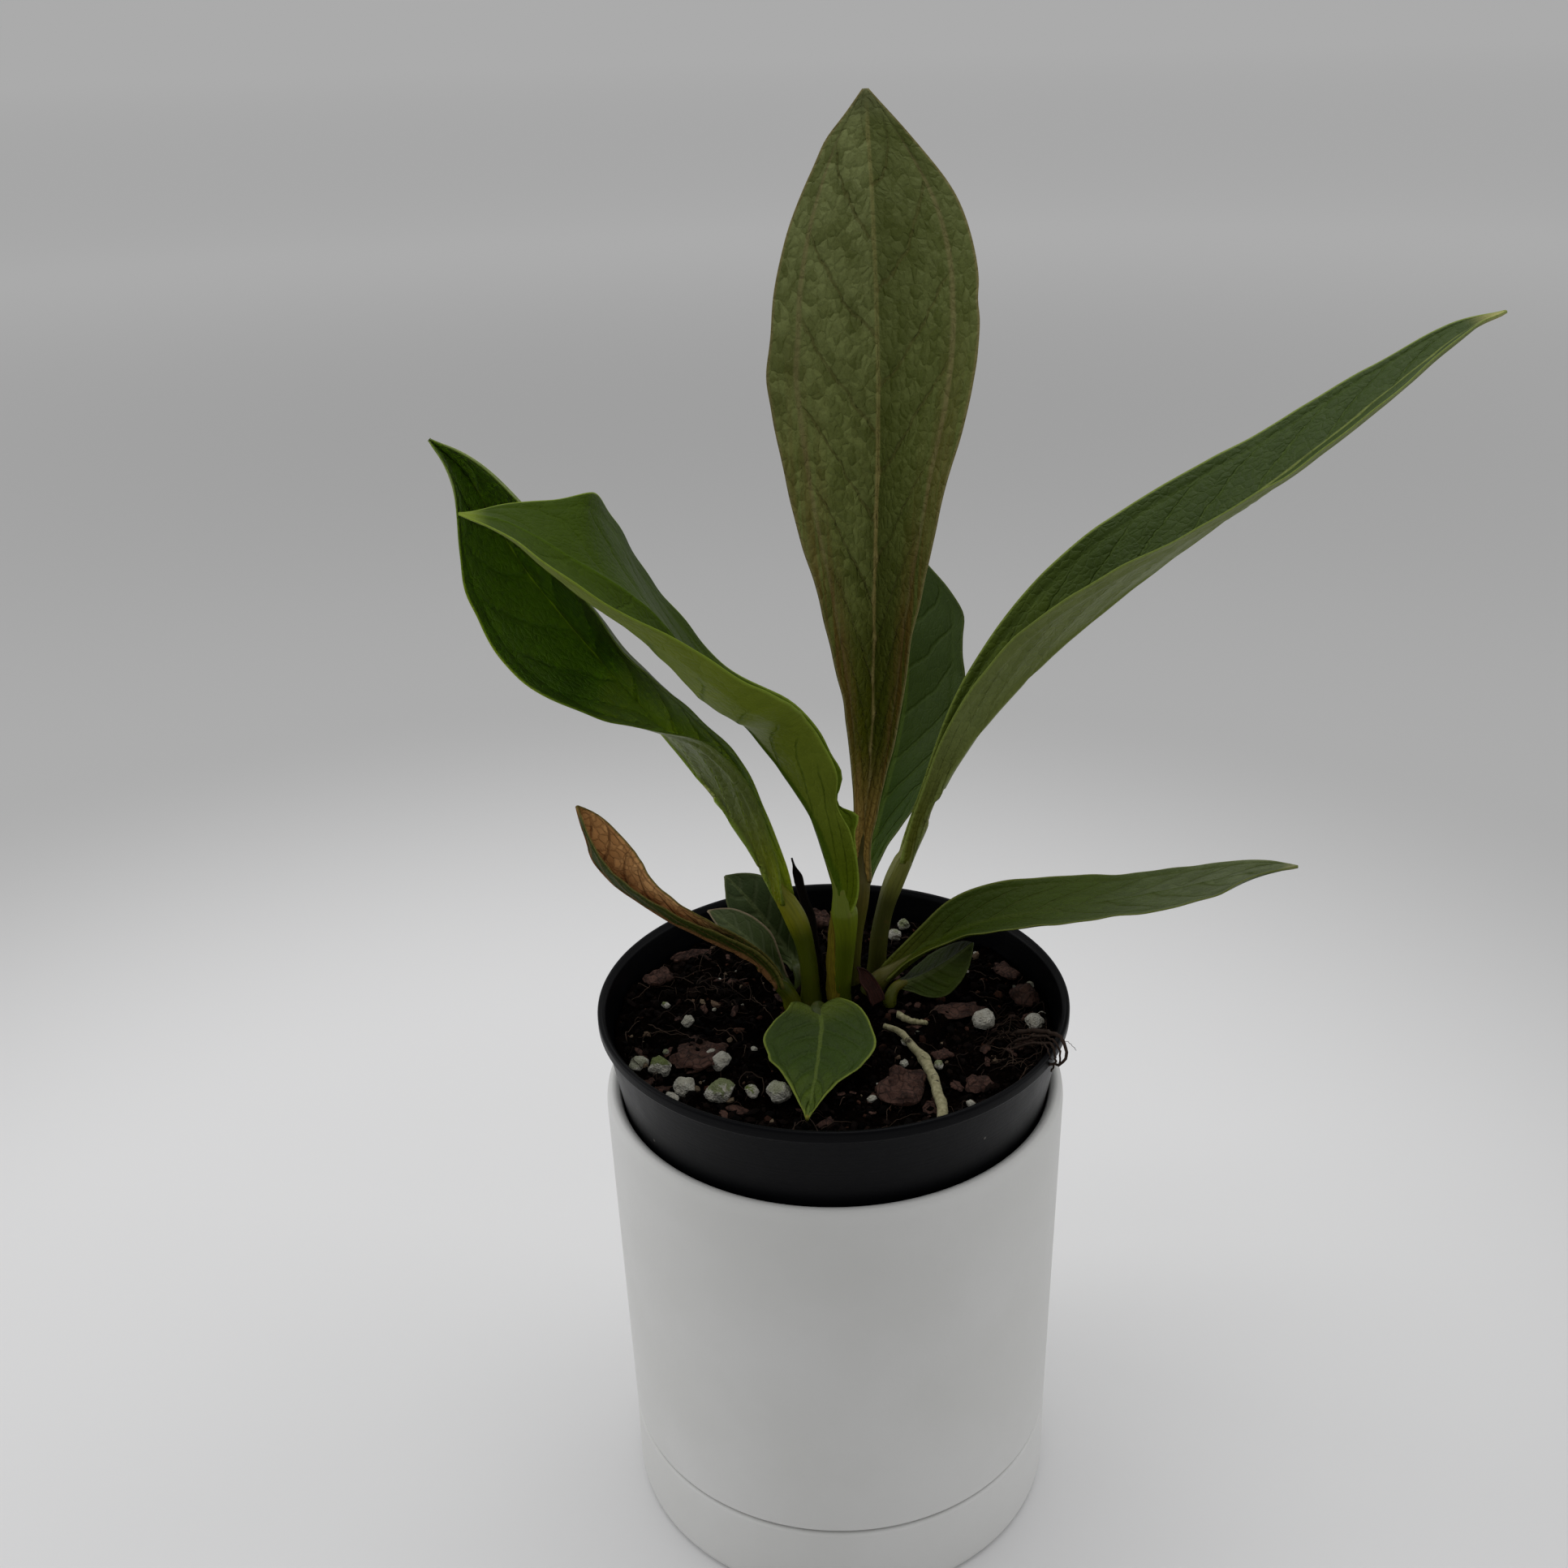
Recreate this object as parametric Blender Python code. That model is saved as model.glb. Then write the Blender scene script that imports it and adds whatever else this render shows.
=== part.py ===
"""A small anthurium in a black nursery pot, held in a white planter with its saucer.

Lengths are in millimetres until a mesh is made, and the mesh is in metres.
+Z is up, the pot's axis is the Z axis, and the saucer stands on z = 0. -Y is the front.
"""

import math
import random

import bmesh
import bpy
import numpy as np

MM = 0.001
GAP = 0.3
AROUND = 40
ROOT = "potted_anthurium"

# Saucer: a flush base ring, whose inside takes the planter's foot.
SAUCER_HEIGHT = 20.2
SAUCER_FLOOR = 4.0
SAUCER_OUTER = 50.5
SAUCER_INNER = 46.8

# Planter: a nearly straight white cylinder with a rounded mouth.
PLANTER_TOP = 110.2
PLANTER_OUTER_TOP = 51.9
PLANTER_OUTER_BOTTOM = 50.5
PLANTER_FOOT = 46.2
PLANTER_FLOOR = 10.0
PLANTER_MOUTH = 48.45
PLANTER_INNER = 47.2
PLANTER_DRAIN = 6.0

# Nursery pot: its taper wedges in the planter's mouth, so it hangs above the planter's floor.
NURSERY_BOTTOM = 35.4
NURSERY_BOTTOM_RADIUS = 39.4
NURSERY_WALL_TOP = 127.9
NURSERY_TOP_RADIUS = 50.4
NURSERY_RIM_TOP = 130.4
NURSERY_RIM_RADIUS = 52.5
NURSERY_WALL = 1.2
NURSERY_FLOOR = 1.4
DRAIN_HOLES = 6
DRAIN_HOLE_RADIUS = 4.0
DRAIN_HOLE_CIRCLE = 26.0

# Potting mix and the plant's crown, which sits in a shallow pocket of the mix.
MIX_LEVEL = 122.3
MIX_RISE = 1.5
CROWN_CENTRE = (1.5, 11.5)
CROWN_RADII = (15.0, 14.0)
CROWN_BOTTOM = 121.2
CROWN_TOP = 124.6

BLADE_THICKNESS = 1.0
RIB_AT_TIP = 0.3

# How far along a blade, and what share of the widest half-width it has there.
WIDTH_AT = (0.0, 0.10, 0.25, 0.40, 0.55, 0.70, 0.85, 0.95, 1.0)

# Each leaf: the midrib's path from the petiole's end to the tip, the widest half-width, the way the
# upper side faces, the angles in degrees by which the left and right half-blades rise from flat,
# the turn of the whole blade about its midrib, how much each half-blade curls across its width,
# the outline's widths at WIDTH_AT, and the petiole's foot and radius.
LEAVES = {
    "tall": dict(
        path=[(6.5, 12, 152.5), (9.5, 14, 184.5), (10.5, 15, 221), (11.5, 16, 255), (11, 19, 285), (9.5, 24, 317)],
        half_width=21, face=(0, -1, 0.1),
        left=(60, 60, 50, 25, 20, 5), right=(75, 50, 45, 40, 20, 0),
        turn=(-5, -10, 10), curl_left=(10, 10), curl_right=(10, 10),
        widths=(0.12, 0.24, 0.45, 0.70, 0.95, 1.08, 0.84, 0.36, 0.03),
        foot=(4, 14.5), stalk=2.4, rows=20, across=3,
    ),
    "right": dict(
        path=[(16.7, 19, 153.5), (28.9, 21, 178), (45.5, 23.5, 197.5), (67, 23.5, 217), (100.5, 26.5, 242),
              (129, 28.5, 265.5), (139, 28, 271.5)],
        half_width=18.5, face=(-0.5, -0.1, 1),
        left=(65, 60, 45, 30, 20, 10), right=(70, 70, 50, 30, 20, 20),
        turn=(-10, 0, -5), curl_left=(20, 20), curl_right=(20, 20),
        widths=(0.16, 0.21, 0.57, 0.87, 0.90, 0.76, 0.56, 0.30, 0.03),
        foot=(10.5, 18.5), stalk=2.1, rows=20, across=3,
    ),
    "front_left": dict(
        path=[(2.9, 1.2, 150.5), (1.8, 1.2, 156.9), (-2.8, 3.4, 169.6), (-6.8, 4.4, 177), (-13.5, 3.5, 189.5),
              (-21.5, -5, 204), (-28, -11.5, 216.5), (-34.5, -18, 228), (-44.5, -24, 238), (-57, -26.5, 247),
              (-66, -28.5, 250)],
        half_width=25, face=(0.6, -0.1, 1),
        left=(105, 68, 51, 33, 16, 10, 5), right=(75, 56, 22, 2, 4, 14, -10),
        turn=(10, 0, 5), curl_left=(10, 52, 112, 76, 15), curl_right=(12, 16, 18, 16, 13),
        widths=(0.16, 0.27, 0.56, 0.655, 1.07, 1.155, 0.79, 0.28, 0.03),
        foot=(1.7, 5.2), stalk=2.25, rows=22, across=4,
    ),
    "back_left": dict(
        path=[(-10, 8, 149.5), (-22, 11, 169.5), (-36.5, 11.5, 190.5), (-49.5, 11.5, 208.5), (-63, 13, 227.5),
              (-72, 11.5, 246.5), (-79, 11, 254.5)],
        half_width=23, face=(0.2, -0.7, 1),
        left=(80, 98, 90, 58, 40, 46, 50), right=(50, 72, 79, 90, 86, 77, 88),
        turn=(18, -15, -14), curl_left=(20, 20), curl_right=(10, 28, 42),
        widths=(0.14, 0.27, 0.58, 0.82, 1.06, 0.98, 0.74, 0.25, 0.03),
        foot=(-4.9, 6.8), stalk=1.9, rows=20, across=3,
    ),
    "back": dict(
        path=[(7, 27, 143), (12.5, 35, 160), (18, 42, 182), (19, 45, 205), (18, 46, 222)],
        half_width=17.8, face=(-0.3, -1, 0.2),
        left=(30, 25, 20, 20, 15), right=(30, 25, 20, 20, 25),
        turn=(-5, -5, -10), curl_left=(20, 20), curl_right=(20, 20),
        widths=(0.13, 0.24, 0.53, 0.81, 0.94, 0.90, 0.84, 0.30, 0.03),
        widths_left=(0.13, 0.20, 0.36, 0.50, 0.56, 0.56, 0.50, 0.24, 0.03),
        foot=(4.5, 21), stalk=1.9, rows=16, across=3,
    ),
    "low_right": dict(
        path=[(12, 11, 128), (23.5, 12.5, 135.5), (36.5, 12.5, 141), (68.5, 7.5, 149.5), (90.5, 5.5, 155.5),
              (101, 1.5, 159.5)],
        half_width=15, face=(-0.1, 0.3, 1),
        left=(55, 40, 15, 0, 0, 10), right=(35, 25, 15, 10, 5, 10),
        turn=(30, 15, 0), curl_left=(20, 20), curl_right=(20, 20),
        widths=(0.14, 0.27, 0.59, 0.76, 0.89, 0.98, 0.75, 0.31, 0.03),
        foot=(9, 11), stalk=2.0, rows=16, across=3,
    ),
    "dried": dict(
        path=[(-11.5, 4.5, 129.5), (-19.5, 3.5, 138), (-37, 2, 149.5), (-50, 2, 161), (-54, 1.5, 177)],
        half_width=12.3, face=(0.3, -0.2, 1),
        left=(80, 80, 74, 68, 60, 38), right=(64, 68, 74, 72, 60, 37),
        turn=(8, -30, -3), curl_left=(8, 8), curl_right=(8, 8),
        widths=(0.14, 0.24, 0.34, 0.48, 0.66, 0.82, 0.64, 0.30, 0.03),
        widths_left=(0.14, 0.24, 0.34, 0.42, 0.48, 0.50, 0.40, 0.22, 0.03),
        foot=(-9, 5), stalk=1.6, rows=14, across=3,
    ),
    "small_back": dict(
        path=[(-8, 15, 128), (-10.5, 18.5, 130.5), (-17.5, 22, 140), (-24.6, 25, 147.3)],
        half_width=8.1, face=(0.3, -1, 0.7),
        left=(18, 18, 23, 28), right=(23, 23, 19, 12),
        turn=(0, -8, 15), curl_left=(20, 20), curl_right=(20, 20),
        widths=(0.16, 0.27, 0.58, 0.86, 0.93, 0.90, 0.64, 0.29, 0.03),
        foot=(-7, 13), stalk=1.3, rows=9, across=2,
    ),
    "small_left": dict(
        path=[(-11, 10, 127.5), (-13.5, 10.5, 131.5), (-19.5, 11.5, 138), (-28, 13.5, 144.5)],
        half_width=5.9, face=(0.3, -0.8, 1),
        left=(24, 24, 26, 28), right=(34, 23, 9, 1),
        turn=(-5, 8, 20), curl_left=(20, 20), curl_right=(20, 20),
        widths=(0.18, 0.28, 0.55, 0.84, 0.93, 0.90, 0.68, 0.30, 0.03),
        foot=(-9.5, 9.5), stalk=1.1, rows=9, across=2,
    ),
    "small_right": dict(
        path=[(15.5, 8, 127.5), (20.5, 9, 129), (26, 9, 132.5), (32, 9, 137.5)],
        half_width=6.5, face=(0.1, -1, 0.8),
        left=(-55, -60, -55, -45), right=(0, 5, 15, 20),
        turn=(4, 5, -10), curl_left=(20, 20), curl_right=(20, 20),
        widths=(0.20, 0.40, 0.80, 1.00, 0.95, 0.80, 0.55, 0.25, 0.03),
        foot=(13, 6.5), stalk=1.1, rows=9, across=2,
    ),
    "heart": dict(
        path=[(-3.5, -8, 130.5), (-2.5, -12.5, 130.5), (-3, -20, 129), (-4, -29, 127), (-5.7, -39.2, 124.2)],
        half_width=12.2, face=(0, -0.1, 1),
        left=(10, 8, 6, 10), right=(10, 8, 6, 10),
        turn=(0, 0, 0), curl_left=(-10, -10), curl_right=(-10, -10),
        widths=(0.45, 0.65, 0.90, 1.00, 0.80, 0.45, 0.20, 0.08, 0.02),
        widths_left=(0.50, 0.70, 0.90, 1.00, 0.80, 0.40, 0.18, 0.06, 0.02),
        widths_right=(0.40, 0.60, 0.85, 1.00, 0.80, 0.50, 0.25, 0.08, 0.02),
        foot=(-1.5, 0.5), stalk=1.1, rows=20, across=4, lobes=(2.4, 4.2),
    ),
}

# Dry sheaths at the stalks: path, half-width, the way the inner side faces, how far it wraps, colour.
SHEATHS = {
    "pale": dict(path=[(-1.7, 5.2, 125.4), (-1.3, 3.9, 134), (-0.9, 0.6, 145.5)], half_width=3.2, face=(1, 0, 0),
                 wrap=60, colour=(0.42, 0.36, 0.05)),
    "brown": dict(path=[(9.3, 2.6, 125.4), (7.4, 4.6, 129.5), (5.6, 5.8, 133.5)], half_width=2.4, face=(1, -0.6, 0.3),
                  wrap=50, colour=(0.05, 0.02, 0.015)),
    "spike": dict(path=[(-2, 14, 125.4), (-4, 14.5, 142), (-7.5, 14.5, 157)], half_width=1.5, face=(0, -1, 0),
                  wrap=80, colour=(0.03, 0.02, 0.015)),
}

# Roots that run over the mix: the plan of the path from the crown, and the radius.
ROOTS = {
    "front": ([(11.5, -4.5), (15, -8), (18, -13.5), (19.5, -18), (21, -25), (22, -32), (22, -40)], 1.25),
    "side": ([(14.5, 0.5), (17.5, -1.8), (21, -3.4)], 0.8),
}

# Bark chips: x, y, length, width, thickness and heading in degrees.
BARK = [
    (-29.4, -13.8, 13.5, 10.5, 2.8, 60), (-38.0, -25.2, 7, 4.0, 1.5, -35), (-41.3, 18.8, 7.5, 5.5, 2.6, 65),
    (13.8, -27.4, 12.5, 9.5, 4.4, 70), (28.6, 2.7, 12, 6.0, 1.5, 15), (44.0, 8.8, 7, 6.0, 3.4, 101),
    (41.0, 19.7, 9, 4.0, 1.8, 116), (23.6, -14.6, 5, 3.5, 1.8, 30), (42.4, -11.2, 9.5, 2.6, 1.6, 35),
    (30.5, -25.9, 5.5, 5.0, 2.4, 0), (-3.0, 44.0, 7, 5.5, 4.5, 90), (-33.8, 30.2, 10.5, 3.4, 1.8, 25),
]

# Perlite grains: x, y, radius and how much longer than wide.
PERLITE = [
    (-37.4, -19.6, 2.5, 1.0), (-42.4, -18.2, 1.9, 1.15), (-31.8, -26.3, 2.2, 1.1), (-24.6, -17.4, 2.0, 1.1),
    (-24.0, -29.2, 2.6, 1.2), (-11.6, -29.8, 2.5, 1.2), (33.7, -2.6, 2.5, 1.0), (44.9, -3.0, 2.0, 1.0),
    (-32.7, -0.1, 1.3, 1.3), (17.8, 42.0, 1.5, 1.1),
]


def material(name, colour, roughness, metallic=0.0):
    """A Principled material of its own for one piece."""
    made = bpy.data.materials.new(name)
    made.use_nodes = True
    shader = made.node_tree.nodes["Principled BSDF"]
    shader.inputs["Base Color"].default_value = (*colour, 1.0)
    shader.inputs["Roughness"].default_value = roughness
    shader.inputs["Metallic"].default_value = metallic
    made.diffuse_color = (*colour, 1.0)
    return made


def link_piece(name, data, colour, roughness, origin=(0, 0, 0), heading=0.0):
    """Puts a piece in the scene under the root empty, with a material of its own."""
    data.materials.append(material(name + "_material", colour, roughness))
    made = bpy.data.objects.new(name, data)
    made.location = [value * MM for value in origin]
    made.rotation_euler = (0, 0, math.radians(heading))
    made.parent = bpy.data.objects[ROOT]
    bpy.context.scene.collection.objects.link(made)
    return made


def add_mesh(name, points, faces, colour, roughness, origin=(0, 0, 0), heading=0.0, smooth=True):
    """A mesh piece from points in millimetres about its origin, with its faces pointing out."""
    mesh = bpy.data.meshes.new(name)
    mesh.from_pydata([[value * MM for value in point] for point in points], [], faces)
    shell = bmesh.new()
    shell.from_mesh(mesh)
    bmesh.ops.recalc_face_normals(shell, faces=shell.faces)
    shell.to_mesh(mesh)
    shell.free()
    if smooth:
        mesh.shade_smooth()
    return link_piece(name, mesh, colour, roughness, origin, heading)


def unit(vectors):
    return vectors / np.linalg.norm(vectors, axis=-1, keepdims=True)


def along(stations, values, at):
    """A smooth curve through the values given at the stations."""
    stations = np.asarray(stations, float)
    values = np.asarray(values, float)
    slopes = np.gradient(values, stations)
    index = np.clip(np.searchsorted(stations, at, side="right") - 1, 0, len(stations) - 2)
    step = stations[index + 1] - stations[index]
    part = (at - stations[index]) / step
    start = (1 + 2 * part) * (1 - part) ** 2 * values[index] + part * (1 - part) ** 2 * step * slopes[index]
    end = part**2 * (3 - 2 * part) * values[index + 1] + part**2 * (part - 1) * step * slopes[index + 1]
    return start + end


def evenly(values, at):
    return along(np.linspace(0, 1, len(values)), values, at)


def smooth_path(corners, count):
    """Points at even steps along a smooth curve through the corners."""
    corners = np.asarray(corners, float)
    guide = np.vstack([2 * corners[0] - corners[1], corners, 2 * corners[-1] - corners[-2]])
    share = (np.arange(24) / 24)[:, None]
    fine = []
    for a, b, c, d in zip(guide, guide[1:], guide[2:], guide[3:]):
        bend = (2 * a - 5 * b + 4 * c - d) * share**2 + (3 * b - a - 3 * c + d) * share**3
        fine.append(0.5 * (2 * b + (c - a) * share + bend))
    fine = np.vstack(fine + [corners[-1:]])
    lengths = np.r_[0, np.cumsum(np.linalg.norm(np.diff(fine, axis=0), axis=1))]
    even = np.linspace(0, lengths[-1], count)
    return np.stack([np.interp(even, lengths, fine[:, axis]) for axis in range(3)], axis=-1)


def blade_grid(leaf, rows, across):
    """The blade's middle surface: rows from base to tip, columns from the left margin to the right."""
    centre = smooth_path(leaf["path"], rows)
    at = np.linspace(0, 1, rows)
    tangent = unit(np.gradient(centre, axis=0))
    face = np.asarray(leaf["face"], float)
    up = unit(face - (tangent @ face)[:, None] * tangent)
    side = np.cross(tangent, up)
    turn = np.radians(evenly(leaf["turn"], at))[:, None]
    up, side = up * np.cos(turn) + side * np.sin(turn), side * np.cos(turn) - up * np.sin(turn)
    grid = np.zeros((rows, 2 * across + 1, 3))
    grid[:, across] = centre
    for sign, half in ((-1, "left"), (1, "right")):
        rise = np.radians(evenly(leaf[half], at))
        curl = np.radians(evenly(leaf["curl_" + half], at))
        reach = leaf["half_width"] * along(WIDTH_AT, leaf.get("widths_" + half, leaf["widths"]), at)
        outward = np.zeros(rows)
        upward = np.zeros(rows)
        for column in range(1, across + 1):
            angle = rise + curl * ((column - 0.5) / across - 0.5)
            outward = outward + np.cos(angle) / across
            upward = upward + np.sin(angle) / across
            grid[:, across + sign * column] = (
                centre + sign * (reach * outward)[:, None] * side + (reach * upward)[:, None] * up
            )
    if "lobes" in leaf:
        # The lobes reach back on both sides of a notch that is as wide as the stalk.
        share = np.abs(np.linspace(-1, 1, 2 * across + 1))
        lobe = np.concatenate([np.full(across, leaf["lobes"][0]), [0.0], np.full(across, leaf["lobes"][1])])
        back = lobe * np.sin(np.clip((share - 0.25) / 0.6, 0, 1) * np.pi / 2)
        grid = grid - tangent[:, None, :] * (back[None, :] * ((1 - at) ** 3)[:, None])[..., None]
    return grid, tangent, up


def grid_normals(grid, up):
    """The upper side's direction at each point of a blade."""
    down_rows = np.gradient(grid, axis=0)
    over_columns = np.gradient(grid, axis=1)
    normals = unit(np.cross(over_columns, down_rows) + 1e-9)
    middle = grid.shape[1] // 2
    if (normals[:, middle] * up).sum() < 0:
        normals = -normals
    return normals


def shell_faces(rows, columns):
    """Faces of a closed shell whose upper points come first and whose lower points follow."""
    lower = rows * columns
    faces = []
    for row in range(rows - 1):
        for column in range(columns - 1):
            a = row * columns + column
            b = a + columns
            faces.append((a, a + 1, b + 1, b))
            faces.append((lower + a, lower + b, lower + b + 1, lower + a + 1))
        for edge in (row * columns, row * columns + columns - 1):
            faces.append((edge, edge + columns, lower + edge + columns, lower + edge))
    for start in (0, (rows - 1) * columns):
        for a in range(start, start + columns - 1):
            faces.append((a, a + 1, lower + a + 1, lower + a))
    return faces


def add_blade(name, leaf, rows, across, thickness, rib, colour, roughness):
    """A blade of even thickness with a midrib on its lower side that thins towards the tip."""
    grid, tangent, up = blade_grid(leaf, rows, across)
    normals = grid_normals(grid, up)
    # The base and tip rows stay in their own planes, so a stalk can end just short of the base.
    for row in (0, -1):
        normals[row] = unit(normals[row] - (normals[row] @ tangent[row])[:, None] * tangent[row])
    at = np.linspace(0, 1, rows)
    ridge = RIB_AT_TIP + (rib - RIB_AT_TIP) * np.exp(-at * 6)
    thick = np.full(grid.shape[:2], thickness / 2)
    taper = np.minimum(1, 0.35 + (1 - at) * 5)
    thick = thick * taper[:, None]
    below = thick.copy()
    below[:, across] += ridge * taper
    below[:, across - 1] += ridge * taper * 0.35
    below[:, across + 1] += ridge * taper * 0.35
    upper = grid + normals * thick[..., None]
    lower = grid - normals * below[..., None]
    points = np.vstack([upper.reshape(-1, 3), lower.reshape(-1, 3)]) - leaf["path"][0]
    faces = shell_faces(rows, 2 * across + 1)
    return add_mesh(name, points.tolist(), faces, colour, roughness, leaf["path"][0])


def curve_of(name, thickness):
    """A curve whose bevel makes a closed round stem of this radius."""
    curve = bpy.data.curves.new(name, "CURVE")
    curve.dimensions = "3D"
    curve.bevel_depth = thickness * MM
    curve.bevel_resolution = 1
    curve.use_fill_caps = True
    return curve


def add_stalk(name, leaf, colour):
    """A petiole: it leaves the crown upwards and ends in line with the blade, a gap before it."""
    blade = smooth_path(leaf["path"], 30)
    direction = unit(blade[1] - blade[0])
    start = np.array([*leaf["foot"], CROWN_TOP + GAP])
    end = blade[0] - direction * GAP
    reach = 0.35 * np.linalg.norm(end - start)
    curve = curve_of(name, leaf["stalk"])
    curve.resolution_u = 7
    spline = curve.splines.new("BEZIER")
    spline.bezier_points.add(1)
    up = np.array([0.0, 0.0, 1.0])
    for knot, place, heading, radius in zip(spline.bezier_points, (start, end), (up, direction), (1.08, 1.0)):
        place = place - start
        knot.co = place * MM
        knot.handle_left = (place - heading * reach) * MM
        knot.handle_right = (place + heading * reach) * MM
        knot.radius = radius
    link_piece(name, curve, colour, 0.4, start)


def add_root(name, plan, radius):
    """A root that lies on the mix, thinner at its far end."""
    corners = [(x, y, resting_height(x, y, 2 * radius) + radius + 0.2) for x, y in plan]
    path = smooth_path(corners, 4 * len(plan))
    curve = curve_of(name, radius)
    spline = curve.splines.new("POLY")
    spline.points.add(len(path) - 1)
    for knot, place, share in zip(spline.points, path - path[0], np.linspace(0, 1, len(path))):
        knot.co = (*place * MM, 1)
        knot.radius = 1 - 0.15 * share
    link_piece(name, curve, (0.42, 0.42, 0.26), 0.6, path[0])


def lathe(name, profile, colour, roughness):
    """Screws a profile of (radius, height) points about the Z axis. It runs down the outer side."""
    mesh = bpy.data.meshes.new(name)
    edges = [(index, index + 1) for index in range(len(profile) - 1)]
    if profile[0][0] > 0:
        edges.append((len(profile) - 1, 0))
    mesh.from_pydata([(radius * MM, 0, height * MM) for radius, height in profile], edges, [])
    made = link_piece(name, mesh, colour, roughness)
    screw = made.modifiers.new("turned", "SCREW")
    screw.steps = AROUND
    screw.render_steps = AROUND
    screw.use_merge_vertices = True
    screw.merge_threshold = 0.00001
    screw.use_smooth_shade = True
    return made


def nursery_radius(height):
    """The nursery pot's outer radius at this height."""
    share = (height - NURSERY_BOTTOM) / (NURSERY_WALL_TOP - NURSERY_BOTTOM)
    return NURSERY_BOTTOM_RADIUS + share * (NURSERY_TOP_RADIUS - NURSERY_BOTTOM_RADIUS)


def add_saucer():
    profile = [
        (0, 0), (SAUCER_OUTER - 1.3, 0), (SAUCER_OUTER - 0.4, 0.9), (SAUCER_OUTER, 2.0),
        (SAUCER_OUTER, SAUCER_HEIGHT - 0.6), (SAUCER_OUTER - 0.5, SAUCER_HEIGHT),
        (SAUCER_INNER + 0.5, SAUCER_HEIGHT), (SAUCER_INNER, SAUCER_HEIGHT - 0.6),
        (SAUCER_INNER, SAUCER_FLOOR + 0.6), (SAUCER_INNER - 0.6, SAUCER_FLOOR), (0, SAUCER_FLOOR),
    ]
    lathe("saucer", profile[::-1], (0.82, 0.82, 0.81), 0.45)


def add_planter():
    foot = SAUCER_FLOOR + GAP
    shoulder = SAUCER_HEIGHT + 0.5
    profile = [
        (PLANTER_DRAIN, foot), (PLANTER_FOOT - 1.6, foot), (PLANTER_FOOT, foot + 1.6),
        (PLANTER_FOOT, shoulder), (PLANTER_OUTER_BOTTOM - 0.5, shoulder), (PLANTER_OUTER_BOTTOM, shoulder + 0.5),
        (PLANTER_OUTER_TOP, PLANTER_TOP - 2.4), (PLANTER_OUTER_TOP - 0.3, PLANTER_TOP - 1.0),
        (PLANTER_OUTER_TOP - 1.1, PLANTER_TOP - 0.2), (PLANTER_OUTER_TOP - 1.9, PLANTER_TOP),
        (PLANTER_MOUTH + 0.6, PLANTER_TOP - 0.5), (PLANTER_MOUTH, PLANTER_TOP - 1.6),
        (PLANTER_MOUTH - 0.3, PLANTER_TOP - 5.0), (PLANTER_INNER + 0.4, PLANTER_TOP - 12.0),
        (PLANTER_INNER, shoulder + 9.0), (PLANTER_FOOT - 3.4, shoulder + 3.5), (PLANTER_FOOT - 3.4, PLANTER_FLOOR + 3.0),
        (PLANTER_FOOT - 6.0, PLANTER_FLOOR), (PLANTER_DRAIN, PLANTER_FLOOR),
    ]
    lathe("planter", profile[::-1], (0.82, 0.82, 0.81), 0.45)


def add_nursery_pot():
    wall = NURSERY_WALL
    inner_top = NURSERY_WALL_TOP - 0.9
    inner_floor = NURSERY_BOTTOM + NURSERY_FLOOR
    rim = NURSERY_RIM_RADIUS
    top = NURSERY_RIM_TOP
    profile = [
        (0, NURSERY_BOTTOM), (NURSERY_BOTTOM_RADIUS - 0.8, NURSERY_BOTTOM),
        (NURSERY_BOTTOM_RADIUS, NURSERY_BOTTOM + 0.8), (NURSERY_TOP_RADIUS, NURSERY_WALL_TOP),
        (rim - 0.8, top - 2.4), (rim - 0.1, top - 1.8), (rim, top - 0.9), (rim - 0.4, top - 0.2),
        (rim - 1.0, top), (rim - 2.0, top), (rim - 2.6, top - 0.6),
        (nursery_radius(inner_top) - wall, inner_top), (nursery_radius(inner_floor) - wall, inner_floor + 0.6),
        (nursery_radius(inner_floor) - wall - 0.6, inner_floor), (0, inner_floor),
    ]
    pot = lathe("nursery_pot", profile[::-1], (0.02, 0.02, 0.022), 0.4)
    for index in range(DRAIN_HOLES):
        turn = 2 * math.pi * (index + 0.37) / DRAIN_HOLES
        drill = bmesh.new()
        bmesh.ops.create_cone(
            drill, cap_ends=True, segments=16, depth=8 * MM,
            radius1=DRAIN_HOLE_RADIUS * MM, radius2=DRAIN_HOLE_RADIUS * MM,
        )
        mesh = bpy.data.meshes.new(f"drain_cutter_{index + 1}")
        drill.to_mesh(mesh)
        drill.free()
        place = (DRAIN_HOLE_CIRCLE * math.cos(turn), DRAIN_HOLE_CIRCLE * math.sin(turn), inner_floor)
        cutter = link_piece(mesh.name, mesh, (0, 0, 0), 1.0, place)
        cutter.hide_render = True
        cutter.display_type = "WIRE"
        cut = pot.modifiers.new(f"drain_{index + 1}", "BOOLEAN")
        cut.operation = "DIFFERENCE"
        cut.solver = "EXACT"
        cut.object = cutter


def mix_height(x, y):
    """The potting mix's surface: it rises a little to the crown and is gently uneven."""
    away = math.hypot(x - CROWN_CENTRE[0], y - CROWN_CENTRE[1])
    lumps = 0.35 * math.sin(0.31 * x + 1.0) * math.cos(0.27 * y) + 0.25 * math.sin(0.52 * y - 0.4 * x)
    return MIX_LEVEL + MIX_RISE * math.exp(-((away / 24) ** 2)) + lumps


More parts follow.
